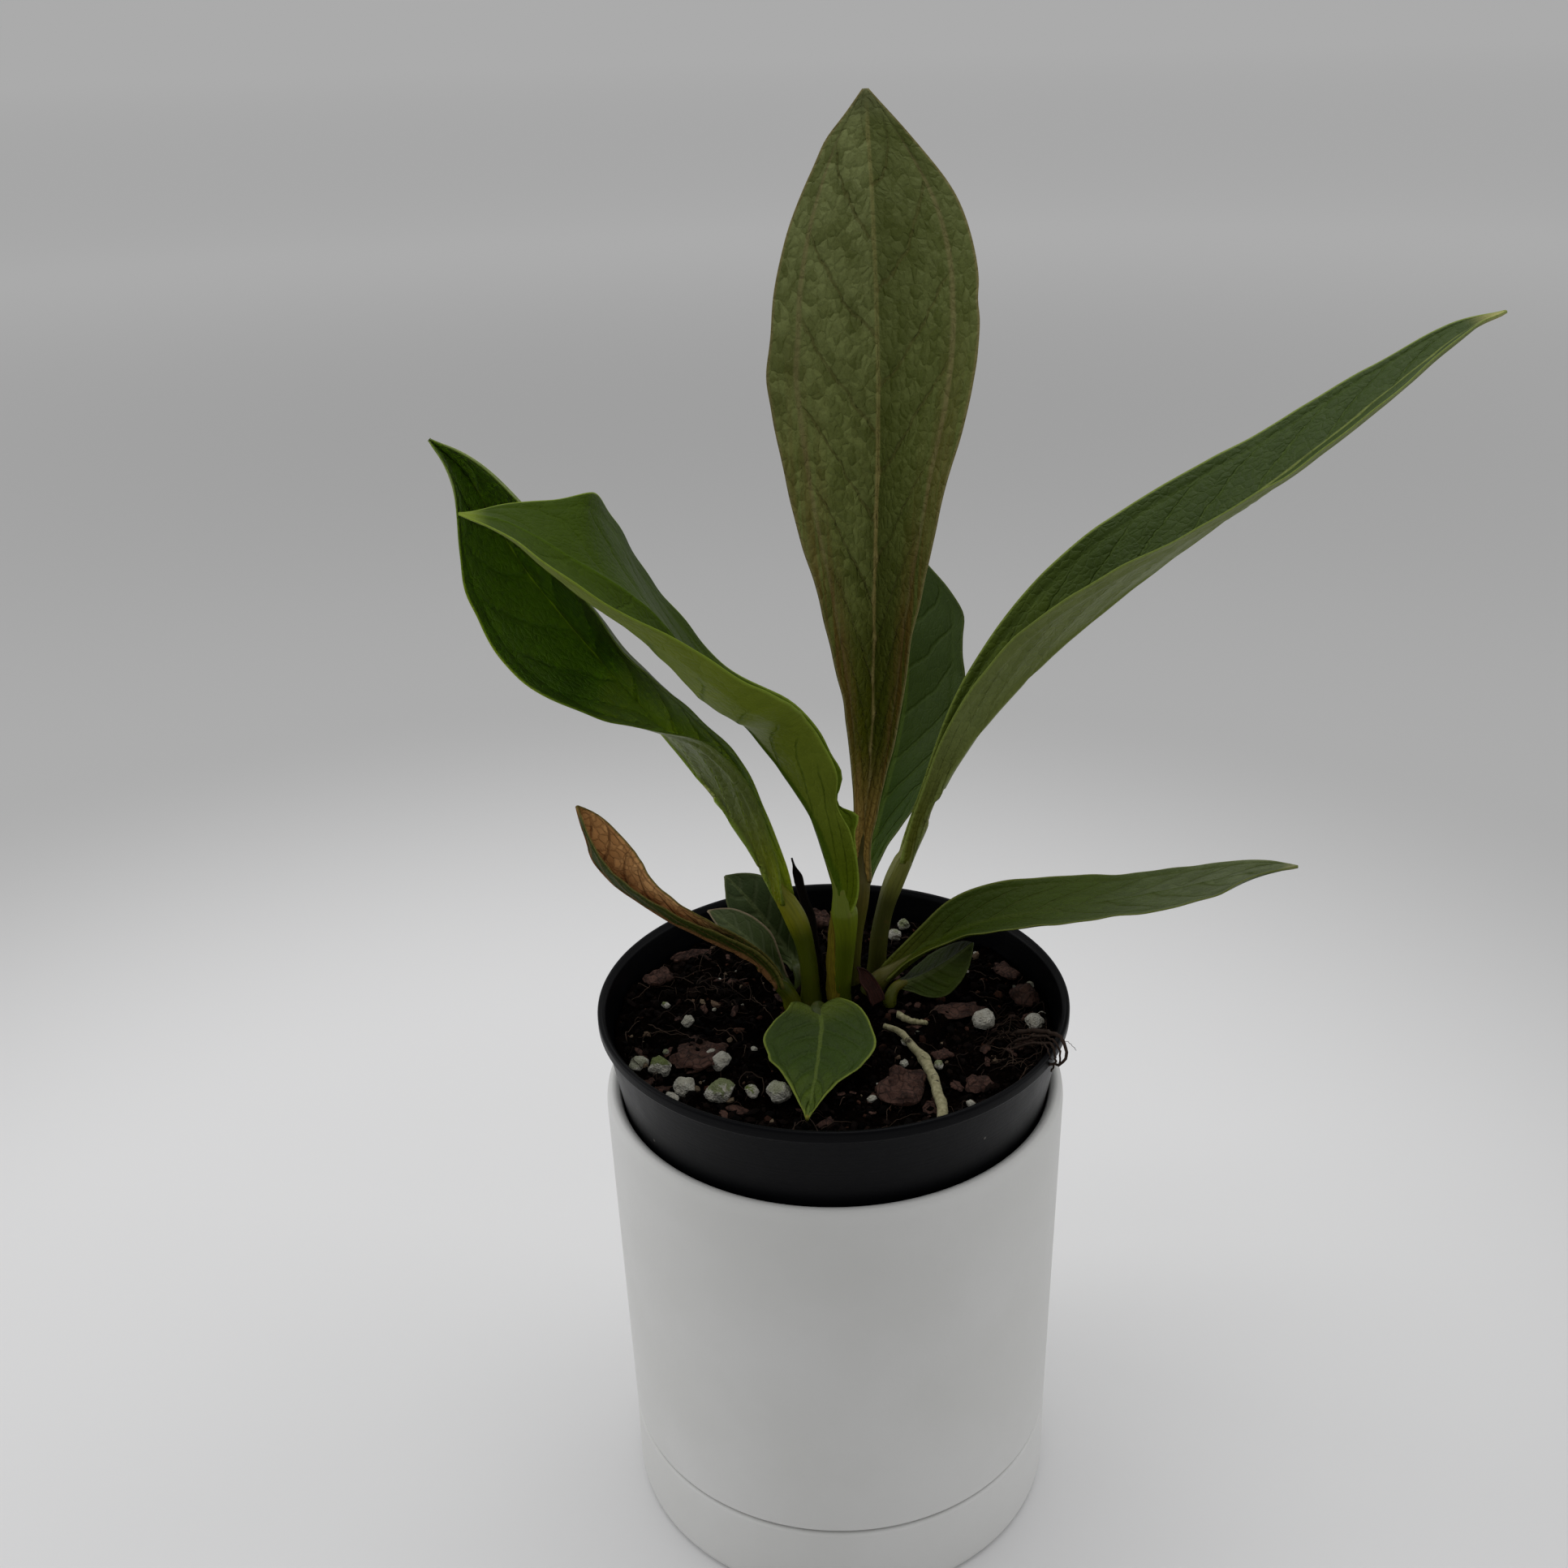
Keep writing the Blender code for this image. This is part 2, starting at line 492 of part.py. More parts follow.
def add_potting_mix():
    """A plug that fills the nursery pot, with a pocket in its top for the crown."""
    clear = NURSERY_WALL + 0.35
    bottom = NURSERY_BOTTOM + NURSERY_FLOOR + GAP + 0.4
    turns = [2 * math.pi * step / AROUND for step in range(AROUND)]

    def crown_edge(turn, grow):
        x = CROWN_CENTRE[0] + (CROWN_RADII[0] + grow) * math.cos(turn)
        y = CROWN_CENTRE[1] + (CROWN_RADII[1] + grow) * math.sin(turn)
        return x, y

    rings = []
    wall = nursery_radius(MIX_LEVEL - 3) - clear
    for share in (0.0, 0.12, 0.28, 0.45, 0.62, 0.8, 0.93, 1.0):
        ring = []
        for turn in turns:
            near_x, near_y = crown_edge(turn, 0.8)
            x = near_x + share * (wall * math.cos(turn) - near_x)
            y = near_y + share * (wall * math.sin(turn) - near_y)
            ring.append((x, y, mix_height(x, y)))
        rings.append(ring)
    pocket = [(*crown_edge(turn, 0.5), CROWN_BOTTOM - GAP) for turn in turns]
    side = [(wall * math.cos(turn), wall * math.sin(turn), MIX_LEVEL - 3) for turn in turns]
    low = nursery_radius(bottom) - clear
    base = [(low * math.cos(turn), low * math.sin(turn), bottom) for turn in turns]
    rings = [pocket] + rings + [side, base]
    points = [point for ring in rings for point in ring]
    faces = []
    for index in range(len(rings) - 1):
        for step in range(AROUND):
            a = index * AROUND + step
            b = index * AROUND + (step + 1) % AROUND
            faces.append((a, b, b + AROUND, a + AROUND))
    for ring, height in ((0, CROWN_BOTTOM - GAP), (len(rings) - 1, bottom)):
        centre = len(points)
        middle = CROWN_CENTRE if ring == 0 else (0, 0)
        points.append((*middle, height))
        for step in range(AROUND):
            faces.append((ring * AROUND + step, ring * AROUND + (step + 1) % AROUND, centre))
    add_mesh("potting_mix", points, faces, (0.025, 0.018, 0.014), 0.95)


def add_crown():
    """The flat, knobbly top of the rootstock that the leaf stalks stand on."""
    levels = [(CROWN_BOTTOM, 0.92), (CROWN_BOTTOM + 0.8, 1.0), (CROWN_TOP - 0.6, 0.99), (CROWN_TOP, 0.95)]
    around = 28
    points = []
    for height, size in levels:
        for step in range(around):
            turn = 2 * math.pi * step / around
            knob = size * (0.965 + 0.03 * math.sin(5 * turn + height))
            x = CROWN_CENTRE[0] + CROWN_RADII[0] * knob * math.cos(turn)
            y = CROWN_CENTRE[1] + CROWN_RADII[1] * knob * math.sin(turn)
            points.append((x, y, height))
    faces = []
    for index in range(len(levels) - 1):
        for step in range(around):
            a = index * around + step
            b = index * around + (step + 1) % around
            faces.append((a, b, b + around, a + around))
    faces.append(tuple(range(around)))
    last = (len(levels) - 1) * around
    faces.append(tuple(range(last, last + around)))
    add_mesh("crown", points, faces, (0.06, 0.035, 0.02), 0.9)


def resting_height(x, y, reach):
    """The lowest height at which a piece this wide clears the mix by the gap."""
    highest = max(
        mix_height(x + reach * math.cos(step * math.pi / 6), y + reach * math.sin(step * math.pi / 6))
        for step in range(12)
    )
    return max(highest, mix_height(x, y)) + GAP + 0.1


def add_bark(index, x, y, length, width, thick, heading):
    """A flat, angular chip of bark."""
    chance = random.Random(100 + index)
    chip = bmesh.new()
    for corner in range(9):
        around = 2 * math.pi * corner / 9 + chance.uniform(-0.2, 0.2)
        for level in (0, 1):
            size = chance.uniform(0.78, 1.0) * (1 - 0.15 * level)
            place = (
                size * length / 2 * math.cos(around),
                size * width / 2 * math.sin(around),
                level * thick * chance.uniform(0.75, 1.0),
            )
            chip.verts.new(place)
    hull = bmesh.ops.convex_hull(chip, input=chip.verts)
    bmesh.ops.delete(chip, geom=hull["geom_interior"], context="VERTS")
    origin = (x, y, resting_height(x, y, length / 2))
    add_loose_piece(f"bark_{index:02d}", chip, (0.11, 0.05, 0.032), 0.85, origin, heading, False)


def add_perlite(index, x, y, radius, stretch):
    """A rounded, slightly dented grain."""
    chance = random.Random(500 + index)
    grain = bmesh.new()
    bmesh.ops.create_icosphere(grain, subdivisions=2, radius=radius)
    dents = [chance.uniform(0, 6) for _ in range(3)]
    for vertex in grain.verts:
        u, v, w = vertex.co / radius
        size = 1 + 0.07 * math.sin(3 * u + dents[0]) + 0.06 * math.sin(4 * v + dents[1]) * math.cos(3 * w + dents[2])
        vertex.co = (u * size * stretch * radius, v * size * radius, w * size * 0.9 * radius)
    lowest = min(vertex.co.z for vertex in grain.verts)
    origin = (x, y, resting_height(x, y, radius * 0.6) - lowest)
    heading = chance.uniform(0, 180)
    add_loose_piece(f"perlite_{index:02d}", grain, (0.78, 0.76, 0.68), 0.8, origin, heading, True)


def add_loose_piece(name, shape, colour, roughness, origin, heading, smooth):
    """Turns a bmesh in millimetres into a piece that lies on the mix."""
    shape.verts.index_update()
    points = [tuple(vertex.co) for vertex in shape.verts]
    faces = [tuple(vertex.index for vertex in face.verts) for face in shape.faces]
    shape.free()
    add_mesh(name, points, faces, colour, roughness, origin, heading, smooth)


def add_sheath(name, sheath):
    """A thin dry sheath, cupped round the stalk beside it."""
    leaf = dict(
        path=sheath["path"], half_width=sheath["half_width"], face=sheath["face"],
        left=(32, 30), right=(32, 30), turn=(0, 0),
        curl_left=(sheath["wrap"], sheath["wrap"]), curl_right=(sheath["wrap"], sheath["wrap"]),
        widths=(0.9, 1.0, 1.0, 0.95, 0.85, 0.72, 0.5, 0.25, 0.06),
    )
    add_blade(name, leaf, 9, 2, 0.7, RIB_AT_TIP, sheath["colour"], 0.7)


def main():
    for old in list(bpy.data.objects):
        bpy.data.objects.remove(old)
    bpy.context.scene.collection.objects.link(bpy.data.objects.new(ROOT, None))
    add_saucer()
    add_planter()
    add_nursery_pot()
    add_potting_mix()
    add_crown()
    for name, leaf in LEAVES.items():
        colour = (0.07, 0.14, 0.03)
        if name == "dried":
            colour = (0.30, 0.16, 0.07)
        add_blade(
            "leaf_" + name, leaf, leaf["rows"], leaf["across"], BLADE_THICKNESS, leaf["stalk"] * 1.4, colour, 0.45
        )
        add_stalk("petiole_" + name, leaf, (0.16, 0.22, 0.05))
    for name, sheath in SHEATHS.items():
        add_sheath("sheath_" + name, sheath)
    for name, (plan, radius) in ROOTS.items():
        add_root("root_" + name, plan, radius)
    for index, chip in enumerate(BARK, 1):
        add_bark(index, *chip)
    for index, grain in enumerate(PERLITE, 1):
        add_perlite(index, *grain)


main()
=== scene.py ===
"""The looks of a potted anthurium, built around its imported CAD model.

Shapes are worked out in millimetres, and every mesh is in metres, in the CAD model's frame.
"""

import math
import random

import bmesh
import bpy
import numpy as np
from mathutils import Matrix, Vector, noise


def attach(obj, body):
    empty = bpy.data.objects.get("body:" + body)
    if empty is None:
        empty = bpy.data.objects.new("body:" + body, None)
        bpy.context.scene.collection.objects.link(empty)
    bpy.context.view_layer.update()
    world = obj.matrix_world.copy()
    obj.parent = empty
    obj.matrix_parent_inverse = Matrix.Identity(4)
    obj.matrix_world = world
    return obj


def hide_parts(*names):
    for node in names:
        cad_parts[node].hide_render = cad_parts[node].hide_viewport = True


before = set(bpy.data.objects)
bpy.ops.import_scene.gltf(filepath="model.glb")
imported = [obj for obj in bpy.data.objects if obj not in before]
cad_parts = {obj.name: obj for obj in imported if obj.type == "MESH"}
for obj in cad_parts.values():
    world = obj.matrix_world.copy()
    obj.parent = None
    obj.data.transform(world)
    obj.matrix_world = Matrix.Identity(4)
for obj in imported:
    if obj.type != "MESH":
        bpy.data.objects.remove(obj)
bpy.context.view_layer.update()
MM = 0.001

# The camera stands in front of the plant and looks down on it.
CAMERA_PLACE = (0.0, -0.330495, 0.332762)
CAMERA_PITCH = 0.427884
CAMERA_YAW = -0.028541
CAMERA_ROLL = -0.030443
CAMERA_LENS = 39.435
SENSOR = 36.0

# How bright a white surface looks in this light, which turns a colour seen in it into a surface colour.
LIGHT_LEVEL = 0.55

# How a side vein leaves the midrib: at a slant that lessens towards the tip, in a curve of this power.
VEIN_POWER = 1.35
VEIN_SLANT = 1.35
VEIN_EASE = 0.75

# The blade meets its stalk within this share of its length.
FOOT_SHARE = 0.10
# The stalk's colours are placed by a share that reaches this value where the blade starts.
BLADE_START = 0.7
STALK_SIDES = 20
ROOT_SIDES = 16
SHEATH_HALF_THICK = 0.16

# The pots: points around each, and the drainage holes in the nursery pot's floor.
POT_AROUND = 192
DRAIN_HOLES = 6
DRAIN_RING = 26
DRAIN_RADIUS = 4
DRAIN_DEPTH = 8

# The mix: the points and rings of its surface, how far out loose pieces and fibres may be, and how many there
# are of each kind.
MIX_AROUND = 200
MIX_RINGS = 46
STREWN_RADIUS = 48.0
FIBRE_LIMIT = 47.6
CRUMBS = 3400
FIBRES = 260
FLAKES = 80
GRAINS = 26

# The seeds of what is scattered. A chip's or a grain's own number is added to the last two.
CRUMB_SEED = 4
FIBRE_SEED = 12
FLAKE_SEED = 31
SMALL_GRAIN_SEED = 9
ROOT_SEED = 5
CHIP_SEED = 100
GRAIN_SEED = 500

CROWN_CENTRE = (1.5, 11.5)
MIX_LEVEL = 122.3
MIX_RISE = 1.5
CROWN_TOP = 124.6

NURSERY_BOTTOM = 35.4
NURSERY_BOTTOM_RADIUS = 39.4
NURSERY_WALL_TOP = 127.9
NURSERY_TOP_RADIUS = 50.4
NURSERY_RIM_TOP = 130.4
NURSERY_RIM_RADIUS = 52.5
NURSERY_WALL = 1.2
NURSERY_FLOOR = 1.4

# How far along a blade, and what share of the widest half-width it has there.
WIDTH_AT = (0.0, 0.10, 0.25, 0.40, 0.55, 0.70, 0.85, 0.95, 1.0)

# How far each half-blade curls in degrees, where its leaf says nothing else.
PLAIN_CURL = (20, 20)

# The leaves, close to the CAD model's: the midrib's path, the widest half-width, the way the upper side
# faces, the angles in degrees by which the half-blades rise, the turn about the midrib, the curl of each
# half-blade, the outline's widths at WIDTH_AT, and the stalk's foot and radius. waves are the margin's
# notches and bulges: which half, how far along, how long and how deep. knee is the swelling under the blade
# and knee_at how far before the blade it is. lobes are how far the two halves reach back past the stalk.
LEAVES = {
    "tall": dict(
        path=[(6.5, 12, 152.5), (9.5, 14, 184.5), (10.5, 15, 221), (11.5, 16, 255), (11, 19, 285),
              (9.5, 24, 317)],
        half_width=21, face=(0, -1, 0.1),
        left=(60, 60, 50, 25, 20, 5), right=(75, 50, 45, 40, 20, 0),
        turn=(-5, -10, 10), curl_left=(10, 10), curl_right=(10, 10),
        widths=(0.12, 0.24, 0.45, 0.70, 0.95, 1.08, 0.84, 0.36, 0.03),
        waves=((1, 0.885, 0.045, 0.05), (1, 0.76, 0.015, -0.02), (-1, 0.68, 0.03, 0.03),
               (-1, 0.95, 0.02, 0.08)),
        foot=(4, 14.5), stalk=2.4,
    ),
    "right": dict(
        path=[(16.7, 19, 153.5), (28.9, 21, 178), (45.5, 23.5, 197.5), (67, 23.5, 217), (100.5, 26.5, 242),
              (129, 28.5, 265.5), (139, 28, 271.5)],
        half_width=18.5, face=(-0.5, -0.1, 1),
        left=(65, 60, 45, 30, 20, 10), right=(70, 70, 50, 30, 20, 20),
        turn=(-10, 0, -5),
        widths=(0.16, 0.21, 0.57, 0.87, 0.90, 0.76, 0.56, 0.30, 0.03),
        foot=(10.5, 18.5), stalk=2.1,
    ),
    "front_left": dict(
        path=[(2.9, 1.2, 150.5), (2.0, 1.5, 156.9), (-2.3, 4, 169.6), (-6.0, 5, 177), (-13.5, 3.5, 189.5),
              (-21.5, -5, 204), (-28, -11.5, 216.5), (-34.5, -18, 228), (-44.5, -24, 238), (-57, -26.5, 247),
              (-66, -28.5, 250)],
        half_width=25, face=(0.6, -0.1, 1),
        left=(105, 68, 51, 33, 16, 10, 5), right=(75, 56, 22, 2, 4, 14, -10),
        turn=(10, 0, 5), curl_left=(10, 52, 112, 76, 15), curl_right=(12, 16, 18, 16, 13),
        widths=(0.16, 0.27, 0.56, 0.655, 1.07, 1.155, 0.79, 0.28, 0.03),
        widths_left=(0.16, 0.27, 0.56, 0.72, 1.24, 1.16, 0.79, 0.28, 0.03),
        waves=((1, 0.10, 0.07, -0.08), (1, 0.138, 0.012, 0.16), (1, 0.172, 0.017, -0.38),
               (1, 0.225, 0.022, -0.05), (1, 0.30, 0.035, 0.12), (-1, 0.10, 0.05, -0.08),
               (-1, 0.18, 0.04, -0.30)),
        foot=(1.7, 5.2), stalk=2.25, knee=0.30, knee_at=0,
    ),
    "back_left": dict(
        path=[(-10, 8, 149.5), (-22, 11, 169.5), (-36.5, 11.5, 190.5), (-49.5, 11.5, 208.5), (-63, 13, 227.5),
              (-72, 11.5, 246.5), (-79, 11, 254.5)],
        half_width=23, face=(0.2, -0.7, 1),
        left=(80, 98, 90, 58, 40, 46, 50), right=(50, 72, 79, 90, 86, 77, 88),
        turn=(18, -15, -14), curl_left=(20, 20), curl_right=(10, 28, 42),
        widths=(0.14, 0.27, 0.58, 0.82, 1.06, 0.98, 0.74, 0.25, 0.03),
        foot=(-4.9, 6.8), stalk=2.1, knee=0.2,
    ),
    "back": dict(
        path=[(7, 27, 143), (12.5, 35, 160), (18, 42, 182), (19, 45, 205), (18, 46, 222)],
        half_width=17.8, face=(-0.3, -1, 0.2),
        left=(30, 25, 20, 20, 15), right=(30, 25, 20, 20, 25),
        turn=(-5, -5, -10),
        widths=(0.13, 0.24, 0.53, 0.81, 0.94, 0.90, 0.84, 0.30, 0.03),
        widths_left=(0.13, 0.20, 0.36, 0.50, 0.56, 0.56, 0.50, 0.24, 0.03),
        foot=(4.5, 21), stalk=1.9,
    ),
    "low_right": dict(
        path=[(12, 11, 128), (23.5, 12.5, 135.5), (36.5, 12.5, 141), (68.5, 7.5, 149.5), (90.5, 5.5, 155.5),
              (101, 1.5, 159.5)],
        half_width=15, face=(-0.1, 0.3, 1),
        left=(55, 40, 15, 0, 0, 10), right=(35, 25, 15, 10, 5, 10),
        turn=(30, 15, 0),
        widths=(0.14, 0.27, 0.59, 0.76, 0.89, 0.98, 0.75, 0.31, 0.03),
        foot=(9, 11), stalk=2.0,
    ),
    "dried": dict(
        path=[(-11.5, 4.5, 129.5), (-19.5, 3.5, 138), (-37, 2, 149.5), (-50, 2, 161), (-54, 1.5, 177)],
        half_width=12.3, face=(0.3, -0.2, 1),
        left=(80, 84, 84, 82, 70, 40), right=(64, 68, 76, 76, 62, 37),
        turn=(8, -30, -3), curl_left=(8, 8), curl_right=(8, 8),
        widths=(0.14, 0.24, 0.34, 0.48, 0.66, 0.82, 0.64, 0.30, 0.03),
        widths_left=(0.14, 0.24, 0.34, 0.42, 0.48, 0.50, 0.40, 0.22, 0.03),
        foot=(-9, 5), stalk=1.6,
    ),
    "small_back": dict(
        path=[(-8, 15, 128), (-10.5, 18.5, 130.5), (-17.5, 22, 140), (-24.6, 25, 147.3)],
        half_width=8.1, face=(0.3, -1, 0.7),
        left=(18, 18, 23, 28), right=(23, 23, 19, 12),
        turn=(0, -8, 15),
        widths=(0.16, 0.27, 0.58, 0.86, 0.93, 0.90, 0.64, 0.29, 0.03),
        foot=(-7, 13), stalk=1.3,
    ),
    "small_left": dict(
        path=[(-11, 10, 127.5), (-13.5, 10.5, 131.5), (-19.5, 11.5, 138), (-28, 13.5, 144.5)],
        half_width=5.9, face=(0.3, -0.8, 1),
        left=(24, 24, 26, 28), right=(34, 23, 9, 1),
        turn=(-5, 8, 20),
        widths=(0.18, 0.28, 0.55, 0.84, 0.93, 0.90, 0.68, 0.30, 0.03),
        foot=(-9.5, 9.5), stalk=1.1,
    ),
    "small_right": dict(
        path=[(15.5, 8, 127.5), (20.5, 9, 129), (26, 9, 132.5), (32, 9, 137.5)],
        half_width=6.5, face=(0.1, -1, 0.8),
        left=(-55, -60, -55, -45), right=(0, 5, 15, 20),
        turn=(4, 5, -10),
        widths=(0.20, 0.40, 0.80, 1.00, 0.95, 0.80, 0.55, 0.25, 0.03),
        foot=(13, 6.5), stalk=1.1,
    ),
    "heart": dict(
        path=[(-3.5, -8, 130.5), (-2.5, -12.5, 130.5), (-3, -20, 129), (-4, -29, 127), (-5.7, -39.2, 124.2)],
        half_width=12.2, face=(0, -0.1, 1),
        left=(10, 8, 6, 10), right=(10, 8, 6, 10),
        turn=(0, 0, 0), curl_left=(-10, -10), curl_right=(-10, -10),
        widths=(0.45, 0.65, 0.90, 1.00, 0.80, 0.45, 0.20, 0.08, 0.02),
        widths_left=(0.50, 0.70, 0.90, 1.00, 0.80, 0.40, 0.18, 0.06, 0.02),
        widths_right=(0.40, 0.60, 0.85, 1.00, 0.80, 0.50, 0.25, 0.08, 0.02),
        waves=((1, 0.56, 0.035, 0.08),), foot=(-1.5, 0.5), stalk=1.1, lobes=(2.4, 4.2),
    ),
}

# How each leaf is veined and coloured. veins is the number of side veins on each half, reach is how far along
# the blade they run before the margin, and collective is the share of the half-width at which they meet the
# vein along the margin. quilt is how far the blade swells between the veins in millimetres, and puff the same
# between the smallest ones. net, mottle and patches say how strong the small veins and spots are.
PLAIN_LOOK = dict(
    reach=0.26, collective=0.80, net=0.10, mottle=0.3, patches=0.5, rib_size=1.0, rib_far=0.9, shine=0.12,
    under=0.6, low_at=(0.50, 0.24),
)
# Colours are display values in the studio's light. upper is the blade, deep its darker patches and lower its
# underside, whose pale patches are partly its own paler tone and partly a painted satin sheen. low is the
# blade near its base, low_at where that fades in, and low_deep its darker patches.
# far is the blade near its tip, hem the vein along the margin, and half_without_sheen a darker
# green laid over the right half, which the painted grey sheen in the tall leaf's upper and far colours
# does not reach. roughness and shine are the surface's gloss, and glow its subsurface light.
LOOKS = {
    # The tall leaf's upper and far colours hold a painted grey sheen, which its right half lacks.
    "tall": dict(
        veins=9, reach=0.27, collective=0.74, quilt=0.6, net=0.12, mottle=0.8, patches=0.36, puff=0.2,
        rib_size=1.15, rib_far=0.28, roughness=0.46, bronzing=0.75, slot="leaf_tall", upper=(92, 99, 52),
        # The tall leaf's rib colour is partly the midrib's own pale tone and partly painted light against its
        # fold's shade.
        deep=(52, 58, 16), lower=(84, 88, 52), vein=(66, 65, 30), rib=(120, 110, 66), margin=(92, 86, 52),
        base=(140, 114, 60), tip=(66, 70, 40), far=(94, 100, 60), low=(60, 64, 2), hem=(100, 92, 60),
        half_without_sheen=(50, 57, 15), bronze=(76, 54, 22),
    ),
    "right": dict(
        veins=10, reach=0.25, quilt=0.4, net=0.12, mottle=0.35, puff=0.08, roughness=0.42, slot="leaf_green",
        upper=(38, 50, 11), deep=(28, 40, 7), lower=(84, 92, 48), vein=(50, 63, 20), rib=(84, 92, 44),
        margin=(96, 108, 46), base=(66, 70, 14), tip=(120, 118, 70), far=(43, 55, 21), low=(58, 70, 16),
    ),
    "front_left": dict(
        veins=9, quilt=0.25, puff=0.06, roughness=0.42, shine=0.03, slot="leaf_light", upper=(34, 47, 2),
        deep=(27, 39, 1), lower=(76, 86, 24), vein=(42, 56, 8), rib=(44, 60, 5), margin=(90, 104, 34),
        base=(56, 68, 3), tip=(86, 98, 32), far=(40, 54, 5), low=(58, 72, 12),
    ),
    # low and low_deep here are a painted grey sheen and painted light in the fold; base is partly painted
    # light too.
    "back_left": dict(
        veins=9, quilt=0.55, mottle=0.35, puff=0.08, roughness=0.4, shine=0.2, glow=0.35,
        low_at=(0.56, 0.38), slot="leaf_dark", upper=(25, 33, 9), deep=(18, 25, 6), lower=(70, 80, 32),
        vein=(15, 23, 4), rib=(84, 98, 28), margin=(58, 70, 18), base=(84, 92, 6), tip=(34, 44, 14),
        far=(24, 31, 9), low=(88, 100, 72), low_deep=(60, 72, 42),
    ),
    "back": dict(
        veins=8, quilt=0.25, net=0.08, roughness=0.42, slot="leaf_dark", upper=(42, 56, 14),
        deep=(30, 44, 8), lower=(58, 66, 30), vein=(48, 62, 20), rib=(56, 72, 22), margin=(62, 72, 32),
        base=(42, 58, 4), tip=(52, 62, 28), far=(44, 58, 20), low=(34, 52, 4),
    ),
    "low_right": dict(
        veins=9, quilt=0.25, mottle=0.5, puff=0.06, rib_far=0.3, roughness=0.4, shine=0.08,
        slot="leaf_green", upper=(42, 54, 5), deep=(32, 42, 1), lower=(46, 58, 10), vein=(44, 52, 14),
        rib=(40, 50, 6), margin=(74, 80, 32), base=(46, 50, 4), tip=(96, 96, 64), far=(66, 74, 44),
        low=(30, 42, 0),
    ),
    "dried": dict(
        veins=8, reach=0.28, collective=0.84, quilt=0.25, net=0.35, mottle=0.8, roughness=0.62, under=0.0,
        slot="leaf_dried", upper=(182, 142, 94), deep=(136, 96, 56), lower=(38, 46, 8), vein=(88, 60, 34),
        rib=(96, 66, 38), margin=(84, 78, 36), base=(40, 48, 5), tip=(112, 78, 36), far=(172, 128, 80),
        low=(40, 47, 6), low_deep=(30, 36, 3),
    ),
    "small_back": dict(
        veins=6, quilt=0.15, net=0.08, roughness=0.5, slot="leaf_small", upper=(36, 47, 20),
        deep=(28, 38, 12), lower=(50, 58, 32), vein=(50, 58, 34), rib=(56, 64, 36), margin=(58, 64, 36),
        base=(34, 42, 10), tip=(44, 50, 24), far=(38, 48, 24), low=(30, 42, 10),
    ),
    "small_left": dict(
        veins=6, quilt=0.15, net=0.08, roughness=0.5, slot="leaf_small", upper=(46, 56, 28),
        deep=(35, 45, 16), lower=(58, 66, 40), vein=(58, 66, 42), rib=(60, 68, 40), margin=(96, 84, 68),
        base=(34, 42, 8), tip=(76, 74, 52), far=(50, 58, 34), low=(34, 44, 10),
    ),
    "small_right": dict(
        veins=6, quilt=0.08, net=0.08, roughness=0.5, slot="leaf_small", upper=(42, 54, 8), deep=(25, 33, 4),
        lower=(40, 48, 16), vein=(38, 46, 10), rib=(52, 60, 28), margin=(48, 56, 22), base=(30, 36, 8),
        tip=(36, 42, 16), far=(34, 42, 12), low=(34, 46, 3),
    ),
    "heart": dict(
        veins=7, reach=0.3, collective=0.82, quilt=0.6, net=0.12, mottle=0.35, puff=0.1, rib_size=0.6,
        roughness=0.45, slot="leaf_heart", upper=(38, 52, 14), deep=(29, 42, 8), lower=(64, 72, 40),
        vein=(38, 51, 15), rib=(62, 74, 28), margin=(88, 98, 36), base=(56, 66, 20), tip=(104, 74, 22),
        far=(53, 66, 15), low=(38, 50, 16),
    ),
}

# The stalks' colours at the foot, in the middle, at the knee under the blade and under the blade itself.
PLAIN_STALK = ((34, 42, 8), (36, 44, 10), (40, 48, 14), (40, 48, 18))
STALK_TONES = {
    "tall": ((40, 40, 6), (58, 58, 16), (64, 58, 20), (62, 54, 24)),
    "right": ((44, 46, 8), (46, 48, 16), (84, 86, 36), (78, 86, 38)),
    "front_left": ((50, 60, 3), (54, 64, 4), (70, 80, 8), (56, 68, 4)),
    "back_left": ((48, 54, 2), (52, 60, 3), (92, 92, 10), (66, 74, 10)),
    "low_right": ((46, 48, 8), (50, 52, 12), (60, 58, 18), (54, 58, 14)),
    "small_right": ((50, 54, 6), (52, 56, 6), (62, 60, 10), (44, 52, 8)),
    "dried": ((66, 68, 4), (58, 62, 3), (42, 52, 3), (34, 44, 3)),
}

# Dry sheaths at the stalks: path, half-width, the way the inner side faces, how far it wraps in degrees, its
# paler and its darker colour, and its material slot.
SHEATHS = {
    "pale": dict(
        path=[(-1.2, 5.2, 125.4), (-0.8, 4.2, 138), (0.2, 2.4, 149.5)], half_width=3.9, face=(1, 0.3, 0),
        wrap=60, tones=((88, 82, 10), (70, 58, 8)), slot="sheath_pale",
    ),
    "brown": dict(
        path=[(9.3, 2.6, 125.4), (7.4, 4.6, 129.5), (5.6, 5.8, 133.5)], half_width=3.4, face=(1, -0.6, 0.3),
        wrap=40, tones=((37, 14, 9), (17, 7, 4)), slot="sheath_dark",
    ),
    "spike": dict(
        path=[(-2.6, 14, 125.4), (-5, 14.5, 142), (-8.6, 14.5, 157)], half_width=1.5, face=(0, -1, 0),
        wrap=80, tones=((22, 16, 12), (10, 8, 6)), slot="sheath_dark",
    ),
}

# Roots that run over the mix: the plan of the path from the crown, and the radius.
ROOTS = {
    "front": ([(11.5, -4.5), (15, -8), (18, -13.5), (19.5, -18), (21, -25), (22, -32), (22, -40)], 1.25),
    "side": ([(14.5, 0.5), (17.5, -1.8), (21, -3.4)], 0.8),
}

